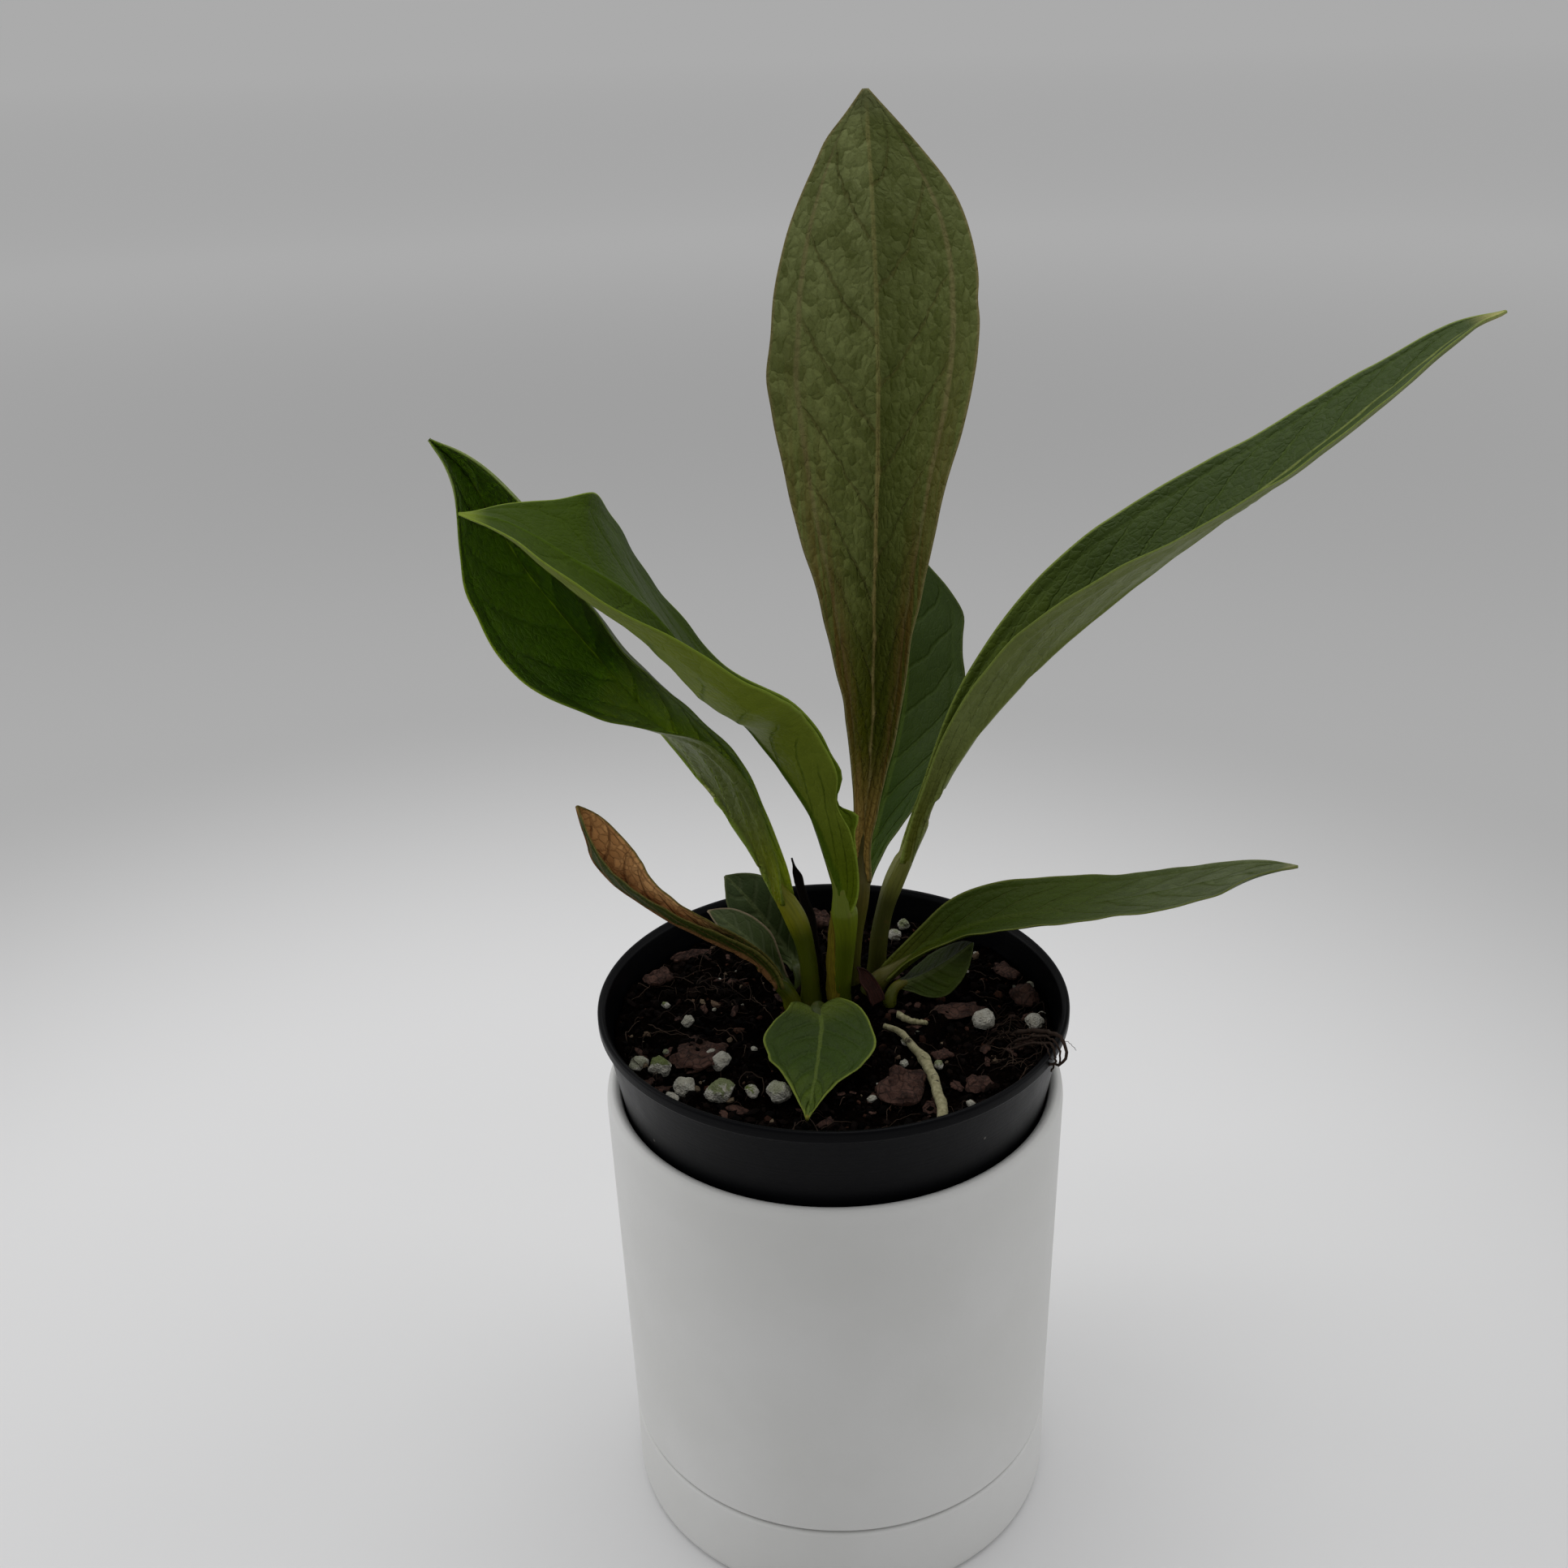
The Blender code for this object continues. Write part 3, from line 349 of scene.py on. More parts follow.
# Curled fine roots on the mix: x, y, heading, length, radius and how much they bend at each step.
CURLS = [
    (-15.5, -27.8, 0.9, 15, 0.15, 0.46), (-13.0, -29.5, -0.6, 9, 0.12, 0.20),
    (-41.5, -2.0, -1.1, 10, 0.16, 0.05),
]

# Strands of the tuft of coir that hangs over the rim at the right, as guessed: path and radius.
TUFT = [
    ([(40.4, -11, 126.4), (43.9, -15.5, 129.5), (46.5, -20, 131.8), (48.4, -23.6, 131.8), (48.6, -26, 129.8),
      (47.2, -26.8, 128.4), (45.4, -26.8, 128.4), (44.2, -26.6, 127.2)], 0.6),
    ([(39.4, -14, 126.2), (42.9, -18, 129.8), (45.6, -22, 132), (47.4, -25, 131), (47.2, -27, 128.6)], 0.4),
    ([(38.4, -17, 126), (42, -20.6, 129.6), (44.4, -24.2, 131.6), (45.4, -27, 129.8)], 0.35),
    ([(42.8, -20, 129.2), (45.8, -24, 131.6), (46.3, -26.8, 129.4), (45.6, -27.2, 127)], 0.4),
    ([(43.4, -17, 129), (46.3, -21, 131.8), (48.8, -22.8, 131.8), (51.2, -24, 130.2)], 0.1),
]

# Bark chips: x, y, length, width, thickness and heading in degrees.
BARK = [
    (-29.4, -13.8, 13.5, 10.5, 2.8, 60), (-38.0, -25.2, 7, 4.0, 1.5, -35), (-41.3, 18.8, 7.5, 5.5, 2.6, 65),
    (13.8, -27.4, 12.5, 9.5, 4.4, 70), (28.6, 2.7, 12, 6.0, 1.5, 15), (44.0, 8.8, 7, 6.0, 3.4, 101),
    (41.0, 19.7, 9, 4.0, 1.8, 116), (23.6, -14.6, 5, 3.5, 1.8, 30), (42.4, -11.2, 9.5, 2.6, 1.6, 35),
    (30.5, -25.9, 5.5, 5.0, 2.4, 0), (-3.0, 44.0, 7, 5.5, 4.5, 90), (-33.8, 30.2, 10.5, 3.4, 1.8, 25),
]

# Perlite grains: x, y, radius, how much longer than wide, and how green with algae.
PERLITE = [
    (-37.4, -19.6, 2.5, 1.0, 0.9), (-42.4, -18.2, 1.9, 1.15, 0.4), (-31.8, -26.3, 2.2, 1.1, 0.1),
    (-24.6, -17.4, 2.0, 1.1, 0.0), (-24.0, -29.2, 2.6, 1.2, 0.8), (-11.6, -29.8, 2.5, 1.2, 0.5),
    (33.7, -2.6, 2.5, 1.0, 0.0), (44.9, -3.0, 2.0, 1.0, 0.0), (-32.7, -0.1, 1.3, 1.3, 0.1),
    (17.8, 42.0, 1.5, 1.1, 0.7),
]

# Small grains that have no solid of their own: x, y, radius and how green.
SMALL_PERLITE = [
    (-26.6, -14.0, 1.3, 0.0), (-17.4, -28.5, 1.4, 1.0), (-38.5, 8.3, 0.9, 0.9), (-36.9, -11.0, 0.7, 0.6),
    (-34.1, -31.0, 1.3, 0.0), (-17.5, -11.2, 0.7, 0.0), (45.6, 12.3, 0.9, 0.3), (28.4, -32.8, 0.8, 0.1),
    (15.2, -16.8, 0.9, 0.2), (7.8, -31.7, 0.8, 0.1), (18.2, 46.4, 1.0, 0.1), (15.4, 36.8, 1.6, 0.5),
    (22.5, -19.0, 1.1, 0.7), (16.2, -9.8, 0.9, 0.6),
]


def linear(value):
    """A display value from 0 to 255 as linear light."""
    value = value / 255
    return value / 12.92 if value <= 0.04045 else ((value + 0.055) / 1.055) ** 2.4


def tone(colour):
    """The surface colour that looks like this display colour in the studio's light."""
    return tuple(min(0.95, linear(value) / LIGHT_LEVEL) for value in colour) + (1.0,)


class Paint:
    """One material, with short ways to add and link its shader nodes."""

    def __init__(self, name, roughness, shine):
        self.material = bpy.data.materials.new(name)
        self.material.use_nodes = True
        self.tree = self.material.node_tree
        self.shader = self.tree.nodes["Principled BSDF"]
        self.shader.inputs["Roughness"].default_value = roughness
        self.shader.inputs["Specular IOR Level"].default_value = shine
        self.base = None
        self.normal = None

    def add(self, kind, inputs=(), **settings):
        made = self.tree.nodes.new(kind)
        for name, value in settings.items():
            setattr(made, name, value)
        for name, value in dict(inputs).items():
            self.put(value, made.inputs[name])
        return made

    def put(self, value, socket):
        if isinstance(value, bpy.types.NodeSocket):
            self.tree.links.new(value, socket)
        else:
            socket.default_value = value

    def math(self, operation, first, second=0.0, third=0.0):
        return self.add("ShaderNodeMath", {0: first, 1: second, 2: third}, operation=operation).outputs[0]

    def times(self, first, second):
        return self.math("MULTIPLY", first, second)

    def times_plus(self, first, second, third):
        return self.math("MULTIPLY_ADD", first, second, third)

    def attribute(self, name):
        return self.add("ShaderNodeAttribute", attribute_name=name).outputs["Vector"]

    def place(self):
        return self.add("ShaderNodeTexCoord").outputs["Object"]

    def split(self, vector):
        return self.add("ShaderNodeSeparateXYZ", {0: vector}).outputs[:]

    def join(self, x, y, z=0.0):
        return self.add("ShaderNodeCombineXYZ", {0: x, 1: y, 2: z}).outputs[0]

    def fade(self, value, low, high, start=0.0, end=1.0):
        """start where value is at low, end where it is at high, and smooth between."""
        inputs = {"Value": value, "From Min": low, "From Max": high, "To Min": start, "To Max": end}
        return self.add("ShaderNodeMapRange", inputs, interpolation_type="SMOOTHSTEP").outputs[0]

    def fall(self, value, low, high):
        """1 where value is at low, 0 where it is at high, and smooth between."""
        return self.fade(value, low, high, 1.0, 0.0)

    def mix(self, share, first, second):
        """The first colour where share is 0 and the second where it is 1."""
        made = self.add("ShaderNodeMix", data_type="RGBA")
        self.put(share, made.inputs[0])
        self.put(first, made.inputs[6])
        self.put(second, made.inputs[7])
        return made.outputs[2]

    def spread(self, value, low, high, first, second):
        """The first colour where value is at low, the second where it is at high, and smooth between."""
        return self.mix(self.fade(value, low, high), first, second)

    def noise(self, vector, scale, detail=3.0, roughness=0.55, warp=0.0):
        inputs = {"Vector": vector, "Scale": scale, "Detail": detail, "Roughness": roughness}
        return self.add("ShaderNodeTexNoise", {**inputs, "Distortion": warp}).outputs[0]

    def cells(self, vector, scale, feature="F1", output="Distance"):
        made = self.add("ShaderNodeTexVoronoi", {"Vector": vector, "Scale": scale}, feature=feature)
        return made.outputs[output]

    def bump(self, height, depth):
        """Adds relief of this depth in metres on top of what is there."""
        made = self.add("ShaderNodeBump", {"Height": height, "Distance": depth, "Strength": 1.0})
        if self.normal is not None:
            self.put(self.normal, made.inputs["Normal"])
        self.normal = made.outputs[0]
        self.put(self.normal, self.shader.inputs["Normal"])

    def colour(self, value):
        self.base = value
        self.put(value, self.shader.inputs["Base Color"])

    def coat(self, share, value):
        """Lays a colour over what is there, by this share."""
        self.colour(self.mix(share, self.base, value))

    def rough(self, value, size, start):
        """Roughness that runs from start, where value is 0, to size more, where it is 1."""
        self.put(self.times_plus(value, size, start), self.shader.inputs["Roughness"])


def unit(vectors):
    return vectors / np.linalg.norm(vectors, axis=-1, keepdims=True)


def along(stations, values, at):
    """A smooth curve through the values given at the stations."""
    stations = np.asarray(stations, float)
    values = np.asarray(values, float)
    slopes = np.gradient(values, stations)
    index = np.clip(np.searchsorted(stations, at, side="right") - 1, 0, len(stations) - 2)
    step = stations[index + 1] - stations[index]
    part = (at - stations[index]) / step
    start = (1 + 2 * part) * (1 - part) ** 2 * values[index] + part * (1 - part) ** 2 * step * slopes[index]
    end = part**2 * (3 - 2 * part) * values[index + 1] + part**2 * (part - 1) * step * slopes[index + 1]
    return start + end


def evenly(values, at):
    return along(np.linspace(0, 1, len(values)), values, at)


def smooth_path(corners, count):
    """Points at even steps along a smooth curve through the corners, and its length."""
    corners = np.asarray(corners, float)
    guide = np.vstack([2 * corners[0] - corners[1], corners, 2 * corners[-1] - corners[-2]])
    share = (np.arange(24) / 24)[:, None]
    fine = []
    for a, b, c, d in zip(guide, guide[1:], guide[2:], guide[3:]):
        bend = (2 * a - 5 * b + 4 * c - d) * share**2 + (3 * b - a - 3 * c + d) * share**3
        fine.append(0.5 * (2 * b + (c - a) * share + bend))
    fine = np.vstack(fine + [corners[-1:]])
    lengths = np.r_[0, np.cumsum(np.linalg.norm(np.diff(fine, axis=0), axis=1))]
    even = np.linspace(0, lengths[-1], count)
    return np.stack([np.interp(even, lengths, fine[:, axis]) for axis in range(3)], axis=-1), lengths[-1]


def mirrored(steps):
    """The share of the half-width and the half, -1 or 1, at each column of a blade."""
    count = len(steps) - 1
    sign = np.concatenate([-np.ones(count), np.zeros(1), np.ones(count)])
    return np.concatenate([steps[:0:-1], steps]), sign


def leaf_foot(leaf, at):
    """A factor that draws the blade in to the width of its stalk where they meet."""
    if "lobes" in leaf:
        return np.ones_like(at)
    start = 1.2 * leaf["stalk"] / (leaf["half_width"] * leaf["widths"][0])
    return start + (1 - start) * np.sin(np.clip(at / FOOT_SHARE, 0, 1) * np.pi / 2)


def margin_wave(leaf, at, sign):
    """What the margin's own notches and bulges on this half make of its width."""
    wave = np.ones_like(at)
    for half, place, reach, size in leaf.get("waves", ()):
        if half == sign:
            wave += size * np.exp(-(((at - place) / reach) ** 2))
    return wave


def blade_grid(leaf, rows, steps):
    """The blade's middle surface, its half-width at each row, the way its midrib faces, and its length.

    steps are the shares of the half-width at the columns.
    """
    centre, length = smooth_path(leaf["path"], rows)
    at = np.linspace(0, 1, rows)
    tangent = unit(np.gradient(centre, axis=0))
    for _ in range(4):
        tangent[1:-1] = unit(tangent[:-2] + 2 * tangent[1:-1] + tangent[2:])
    face = np.asarray(leaf["face"], float)
    up = unit(face - (tangent @ face)[:, None] * tangent)
    side = np.cross(tangent, up)
    turn = np.radians(evenly(leaf["turn"], at))[:, None]
    up, side = up * np.cos(turn) + side * np.sin(turn), side * np.cos(turn) - up * np.sin(turn)
    width = leaf["half_width"] * along(WIDTH_AT, leaf["widths"], at) * leaf_foot(leaf, at)
    across = len(steps) - 1
    grid = np.zeros((rows, 2 * across + 1, 3))
    grid[:, across] = centre
    for sign, half in ((-1, "left"), (1, "right")):
        rise = np.radians(evenly(leaf[half], at))
        if "lobes" not in leaf:
            # The blade lies flatter at the stalk, so that its margins start at the stalk's sides.
            rise = rise * (1 - 0.65 * (1 - np.clip(at / 0.09, 0, 1)) ** 2)
        curl = np.radians(evenly(leaf.get("curl_" + half, PLAIN_CURL), at))
        reach = width
        if "widths_" + half in leaf:
            reach = width * along(WIDTH_AT, leaf["widths_" + half], at) / along(WIDTH_AT, leaf["widths"], at)
        wave = margin_wave(leaf, at, sign) - 1
        outward = np.zeros(rows)
        upward = np.zeros(rows)
        for column in range(1, across + 1):
            step = steps[column] - steps[column - 1]
            angle = rise + curl * ((steps[column] + steps[column - 1]) / 2 - 0.5)
            outward = outward + np.cos(angle) * step
            upward = upward + np.sin(angle) * step
            far = reach * (1 + wave * steps[column] ** 2)
            sideways = sign * (far * outward)[:, None] * side
            grid[:, across + sign * column] = centre + sideways + (far * upward)[:, None] * up
    if "lobes" in leaf:
        left, right = leaf["lobes"]
        lobe = np.concatenate([np.full(across, left), [0.0], np.full(across, right)])
        share = mirrored(steps)[0]
        back = (lobe * np.sin(np.minimum(1, share * 1.25) * np.pi / 2))[None, :] * ((1 - at) ** 3)[:, None]
        grid = grid - tangent[:, None, :] * back[..., None]
    return grid, width, up, length


def grid_normals(grid, up):
    """The upper side's direction at each point of a blade."""
    normals = np.cross(np.gradient(grid, axis=1), np.gradient(grid, axis=0))
    normals = normals / (np.linalg.norm(normals, axis=-1, keepdims=True) + 1e-12)
    middle = grid.shape[1] // 2
    if (normals[:, middle] * up).sum() < 0:
        normals = -normals
    return normals


def shell_faces(rows, columns):
    """Faces of a closed shell whose upper points come first and whose lower points follow."""
    lower = rows * columns
    faces = []
    for left in range(0, (rows - 1) * columns, columns):
        right = left + columns - 1
        for a in range(left, right):
            b = a + columns
            faces.append((a, a + 1, b + 1, b))
            faces.append((lower + a, lower + b, lower + b + 1, lower + a + 1))
        faces.append((left, left + columns, lower + left + columns, lower + left))
        faces.append((right, lower + right, lower + right + columns, right + columns))
    last = (rows - 1) * columns
    for a in range(columns - 1):
        faces.append((a, lower + a, lower + a + 1, a + 1))
        faces.append((last + a, last + a + 1, lower + last + a + 1, lower + last + a))
    return faces


def both_sides(upper, lower):
    """The values at a shell's upper points and then at its lower points, as rows of three."""
    return np.vstack([upper.reshape(-1, 3), lower.reshape(-1, 3)])


def ring(radius, height, around):
    """Points of a level circle about the Z axis."""
    turns = [2 * math.pi * step / around for step in range(around)]
    return [(radius * math.cos(turn), radius * math.sin(turn), height) for turn in turns]


def ring_faces(count, around, first=0, apart=None, closed=False):
    """Faces between rings of points that follow each other, the next one apart points further on."""
    apart = apart or around
    faces = []
    for index in range(count if closed else count - 1):
        near = first + index * apart
        far = first + (index + 1) % count * apart
        for step in range(around):
            after = (step + 1) % around
            faces.append((near + step, near + after, far + after, far + step))
    return faces


class Heap:
    """Many small shapes that become one mesh."""

    def __init__(self):
        self.points, self.faces, self.tints = [], [], []

    def add(self, shape, sides, tints=()):
        start = len(self.points)
        self.points.extend(shape)
        self.faces.extend(tuple(start + corner for corner in side) for side in sides)
        self.tints.extend(tints)


def add_object(name, data):
    """An object with this mesh, lamp or camera, in the scene."""
    made = bpy.data.objects.new(name, data)
    bpy.context.scene.collection.objects.link(made)
    return made


def add_piece(name, points, faces, material, replaced=(), smooth=True, attributes=()):
    """A mesh piece that rides on the part, from points in millimetres."""
    mesh = bpy.data.meshes.new(name)
    points = np.asarray(points, float) * MM
    mesh.from_pydata(points.tolist(), [], faces)
    shell = bmesh.new()
    shell.from_mesh(mesh)
    bmesh.ops.recalc_face_normals(shell, faces=shell.faces)
    shell.to_mesh(mesh)
    shell.free()
    for title, values in dict(attributes).items():
        made = mesh.attributes.new(title, "FLOAT_VECTOR", "POINT")
        made.data.foreach_set("vector", np.asarray(values, np.float32).ravel())
    if smooth:
        mesh.shade_smooth()
    mesh.materials.append(material)
    piece = add_object(name, mesh)
    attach(piece, "root")
    if replaced:
        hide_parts(*replaced)
    return piece


def add_heap(name, heap, material, smooth=True):
    """A heap as one piece that replaces no CAD node."""
    attributes = {"tint": heap.tints} if heap.tints else {}
    add_piece(name, heap.points, heap.faces, material, (), smooth, attributes)


# ---- leaves ----


def vein_advance(share, at, look):
    """How far back towards the base the side vein at this place left the midrib."""
    return look["reach"] * share**VEIN_POWER * (VEIN_SLANT - VEIN_EASE * at)


def relief(share, at, sign, look, length):
    """How far the blade swells between its side veins, in millimetres."""
    phase = look["veins"] * (at - vein_advance(share, at, look)) + (0.5 if sign > 0 else 0.0)
    away = np.abs(phase - np.floor(phase) - 0.5) * length / look["veins"]
    fold = 1 - np.exp(-((away / 1.6) ** 2))
    inside = np.clip((look["collective"] - share) / 0.12, 0, 1) * np.clip(share / 0.10, 0, 1)
    hem = 1 - np.exp(-(((share - look["collective"]) / 0.035) ** 2))
    ends = np.clip(at / 0.12, 0, 1) * np.clip((1 - at) / 0.08, 0, 1)
    return look["quilt"] * ends * ((fold - 0.5) * inside + (hem - 1) * 0.8)


def leaf_material(name, look, length):
    """A blade seen close: side veins, a net of small veins, mottling, midrib, margin and underside."""
    paint = Paint(name, look["roughness"], look["shine"])
    across, at, upper = paint.split(paint.attribute("blade"))
    place = paint.attribute("place")
    from_rib, _, from_margin = paint.split(place)
    share = paint.math("ABSOLUTE", across)
    rib_away = paint.math("ABSOLUTE", from_rib)
    wobble = paint.times_plus(paint.noise(place, 0.11, 3.0, 0.6), 0.45, -0.22)
    slant = paint.times_plus(at, -VEIN_EASE * look["reach"], VEIN_SLANT * look["reach"])
    back = paint.times(paint.math("POWER", share, VEIN_POWER), slant)
    phase = paint.times(paint.math("SUBTRACT", at, back), float(look["veins"]))
    half = paint.times(paint.math("GREATER_THAN", across, 0.0), 0.5)
    phase = paint.math("ADD", paint.math("ADD", phase, half), wobble)
    away = paint.math("ABSOLUTE", paint.math("SUBTRACT", paint.math("FRACT", phase), 0.5))
    away = paint.times(away, length / look["veins"])
    vein = paint.fall(away, 0.15, 1.0)
    vein = paint.times(vein, paint.fall(share, look["collective"] - 0.10, look["collective"] + 0.04))
    hem = paint.math("ABSOLUTE", paint.math("SUBTRACT", share, look["collective"]))
    hem_line = paint.times(paint.fall(hem, 0.008, 0.040), paint.fade(at, 0.10, 0.3))
    short_of_tip = paint.fall(at, 0.90, 0.99)
    hem_line = paint.times(hem_line, short_of_tip)
    vein = paint.times(vein, short_of_tip)
    sway = paint.add("ShaderNodeTexNoise", {"Vector": place, "Scale": 0.5, "Detail": 2.0}).outputs[1]
    inputs = {0: sway, 1: (1.6, 1.6, 1.6), 2: place}
    shifted = paint.add("ShaderNodeVectorMath", inputs, operation="MULTIPLY_ADD").outputs[0]
    net_away = paint.cells(shifted, 0.42, "DISTANCE_TO_EDGE")
    net = paint.fall(net_away, 0.01, 0.13)
    patch = paint.split(paint.cells(shifted, 0.42, "F1", "Color"))[0]
    cloud = paint.noise(place, 0.09, 4.0, 0.6, 0.6)
    grain = paint.noise(place, 1.4, 3.0, 0.65)
    depth = paint.times_plus(patch, look["patches"], paint.times(cloud, 0.9))
    depth = paint.times_plus(grain, 0.3, depth)
    depth = paint.times(paint.fade(depth, 0.45, 1.15), look["mottle"])
    light = paint.spread(at, 0.50, 0.90, tone(look["upper"]), tone(look["far"]))
    paint.colour(paint.mix(depth, light, tone(look["deep"])))
    # On the back-left leaf the low colours are a painted sheen and painted light in its deep fold.
    low = paint.mix(depth, tone(look["low"]), tone(look.get("low_deep", look["deep"])))
    paint.coat(paint.fade(at, *look["low_at"]), low)
    paint.coat(paint.times(net, look["net"]), tone(look["vein"]))
    # The tall leaf's upper colour holds a painted grey sheen; its right half gets a darker green without it.
    if "half_without_sheen" in look:
        right = paint.times(paint.fade(across, -0.05, 0.08), 0.5)
        paint.coat(right, tone(look["half_without_sheen"]))
    paint.coat(paint.times(vein, 0.65), tone(look["vein"]))
    paint.coat(paint.times(hem_line, 0.5), tone(look.get("hem", look["vein"])))
    if "bronzing" in look:
        bands = paint.noise(paint.join(paint.times(from_rib, 0.55), paint.times(at, 2.0)), 1.0, 3.0)
        bronze = paint.times(paint.fade(share, 0.42, 0.80), paint.fade(at, 0.80, 0.30))
        bronze = paint.times(bronze, paint.fade(bands, 0.35, 0.62))
        paint.coat(paint.times(bronze, look["bronzing"]), tone(look["bronze"]))
    # The underside's pale patches are partly its own paler tone and partly a painted satin sheen.
    under = paint.mix(paint.times(depth, look["under"]), tone(look["lower"]), tone(look["upper"]))
    under = paint.mix(paint.times(vein, 0.5), under, tone(look["rib"]))
    paint.colour(paint.mix(upper, under, paint.base))
    # On the back-left leaf the base colour is partly painted light against the shade of its fold.
    paint.coat(paint.fade(at, 0.22, 0.02), tone(look["base"]))
    rib_width = paint.times_plus(at, -0.75, 1.15)
    rib_width = paint.times(paint.math("MAXIMUM", rib_width, 0.28), look["rib_size"])
    rib = paint.fall(paint.math("DIVIDE", rib_away, rib_width), 0.55, 1.15)
    rib = paint.times(rib, paint.fade(at, 0.45, 0.75, 0.9, look["rib_far"]))
    # On the tall leaf the rib colour is partly painted light against the shade of the fold it lies in.
    paint.coat(rib, tone(look["rib"]))
    paint.coat(paint.fade(at, 0.955, 0.995), tone(look["tip"]))
    edge_line = paint.fall(from_margin, 0.15, 0.65)
    paint.coat(paint.times(edge_line, 0.85), tone(look["margin"]))
    if "glow" in look:
        # Subsurface light keeps the inside of this folded blade from rendering nearly black.
        paint.shader.inputs["Subsurface Weight"].default_value = look["glow"]
        paint.shader.inputs["Subsurface Radius"].default_value = (0.8, 1.0, 0.3)
        paint.shader.inputs["Subsurface Scale"].default_value = 0.004
    paint.rough(grain, 0.16, look["roughness"] - 0.08)
    ridges = paint.times_plus(net, -look["net"] * 2.0, paint.times(vein, -0.8))
    paint.bump(ridges, 0.00022)
    paint.bump(paint.noise(place, 2.4, 3.0, 0.6), 0.00012)
    if "puff" in look:
        # The skin swells between its smallest veins.
        paint.bump(paint.fade(net_away, 0.0, 0.42), look["puff"] * MM)
    return paint.material


def leaf_steps(across):
    """Shares of the half-width at the columns, closer together at the midrib and at the margin."""
    even = np.linspace(0, 1, across + 1)
    return even - 0.75 * np.sin(2 * np.pi * even) / (2 * np.pi)


def rib_radius(leaf, at):
    """The midrib's radius along the blade."""
    return 0.28 + (leaf["stalk"] * 0.95 - 0.28) * np.exp(-at * 7.0)


def add_leaf(name, leaf):
    look = {**PLAIN_LOOK, **LOOKS[name]}
    length = smooth_path(leaf["path"], 10)[1]
    rows = max(40, int(length / 1.15))
    across = 26 if leaf["half_width"] > 10 else 18
    steps = leaf_steps(across)
    grid, width, up, length = blade_grid(leaf, rows, steps)
    at = np.linspace(0, 1, rows)
    normals = grid_normals(grid, up)
    share, sign = mirrored(steps)
    chance = random.Random(name)
    lift = np.zeros(grid.shape[:2])
    for half in (-1, 1):
        pick = sign == half
        lift[:, pick] = relief(share[pick][None, :], at[:, None], half, look, length)
        beat = chance.uniform(5, 7)
        start = chance.uniform(0, 6)
        ripple = np.sin(at * beat * 2 * np.pi + start) + 0.6 * np.sin(at * beat * 3.7 * np.pi + 2 * start)
        ends = np.clip(at / 0.2, 0, 1) * np.clip((1 - at) / 0.12, 0, 1)
        lift[:, pick] += 0.009 * leaf["half_width"] * (ripple * ends)[:, None] * share[pick][None, :] ** 4
    for row in range(rows):
        for column in range(grid.shape[1]):
            lift[row, column] += 0.16 * noise.noise(Vector(grid[row, column]) * 0.16)
    grid = grid + normals * lift[..., None]
    normals = grid_normals(grid, up)
    from_rib = width[:, None] * share[None, :] * sign[None, :]
    from_margin = np.minimum(width[:, None] * (1 - share[None, :]), ((1 - at) * length)[:, None] + 0.3)
    rib = rib_radius(leaf, at)[:, None]
    profile = np.exp(-((from_rib / (rib * 0.95)) ** 2))
    half_thick = 0.24 * (0.35 + 0.65 * np.clip(from_margin / 0.8, 0, 1))
    above = half_thick + profile * np.minimum(0.32, rib * 0.3)
    below = half_thick + profile * rib * 0.95
    shape = grid.shape[:2]
    ahead = np.broadcast_to(at[:, None], shape)
    signed = np.broadcast_to((share * sign)[None, :], shape)
    place = np.stack([from_rib, ahead * length, from_margin], axis=-1)
    blade = [np.stack([signed, ahead, np.full(shape, side)], axis=-1) for side in (1.0, 0.0)]
    add_piece(
        "leaf_" + name + "_blade",
        both_sides(grid + normals * above[..., None], grid - normals * below[..., None]),
        shell_faces(*shape), leaf_material("leaf_" + name, look, length), ["leaf_" + name],
        True, {"blade": both_sides(*blade), "place": both_sides(place, place)},
    )
    return grid, normals, length


def tube(centres, radii, sides):
    """Points and faces of a closed tube along these centres, and (turn, share, length) at each point."""
    centres = np.asarray(centres, float)
    tangent = unit(np.gradient(centres, axis=0))
    side = np.cross(tangent[0], (0.0, 0.0, 1.0))
    if np.linalg.norm(side) < 0.1:
        side = np.cross(tangent[0], (0.0, 1.0, 0.0))
    side = unit(side)
    lengths = np.r_[0, np.cumsum(np.linalg.norm(np.diff(centres, axis=0), axis=1))]
    points = []
    notes = []
    for index, (centre, radius, ahead) in enumerate(zip(centres, radii, tangent)):
        side = unit(side - (side @ ahead) * ahead)
        other = np.cross(ahead, side)
        for step in range(sides):
            turn = 2 * math.pi * step / sides
            points.append(centre + radius * (math.cos(turn) * side + math.sin(turn) * other))
            notes.append((turn, index / (len(centres) - 1), lengths[index]))
    faces = ring_faces(len(centres), sides)
    faces.append(tuple(range(sides))[::-1])
    faces.append(tuple(range((len(centres) - 1) * sides, len(centres) * sides)))
    return np.array(points), faces, np.array(notes)


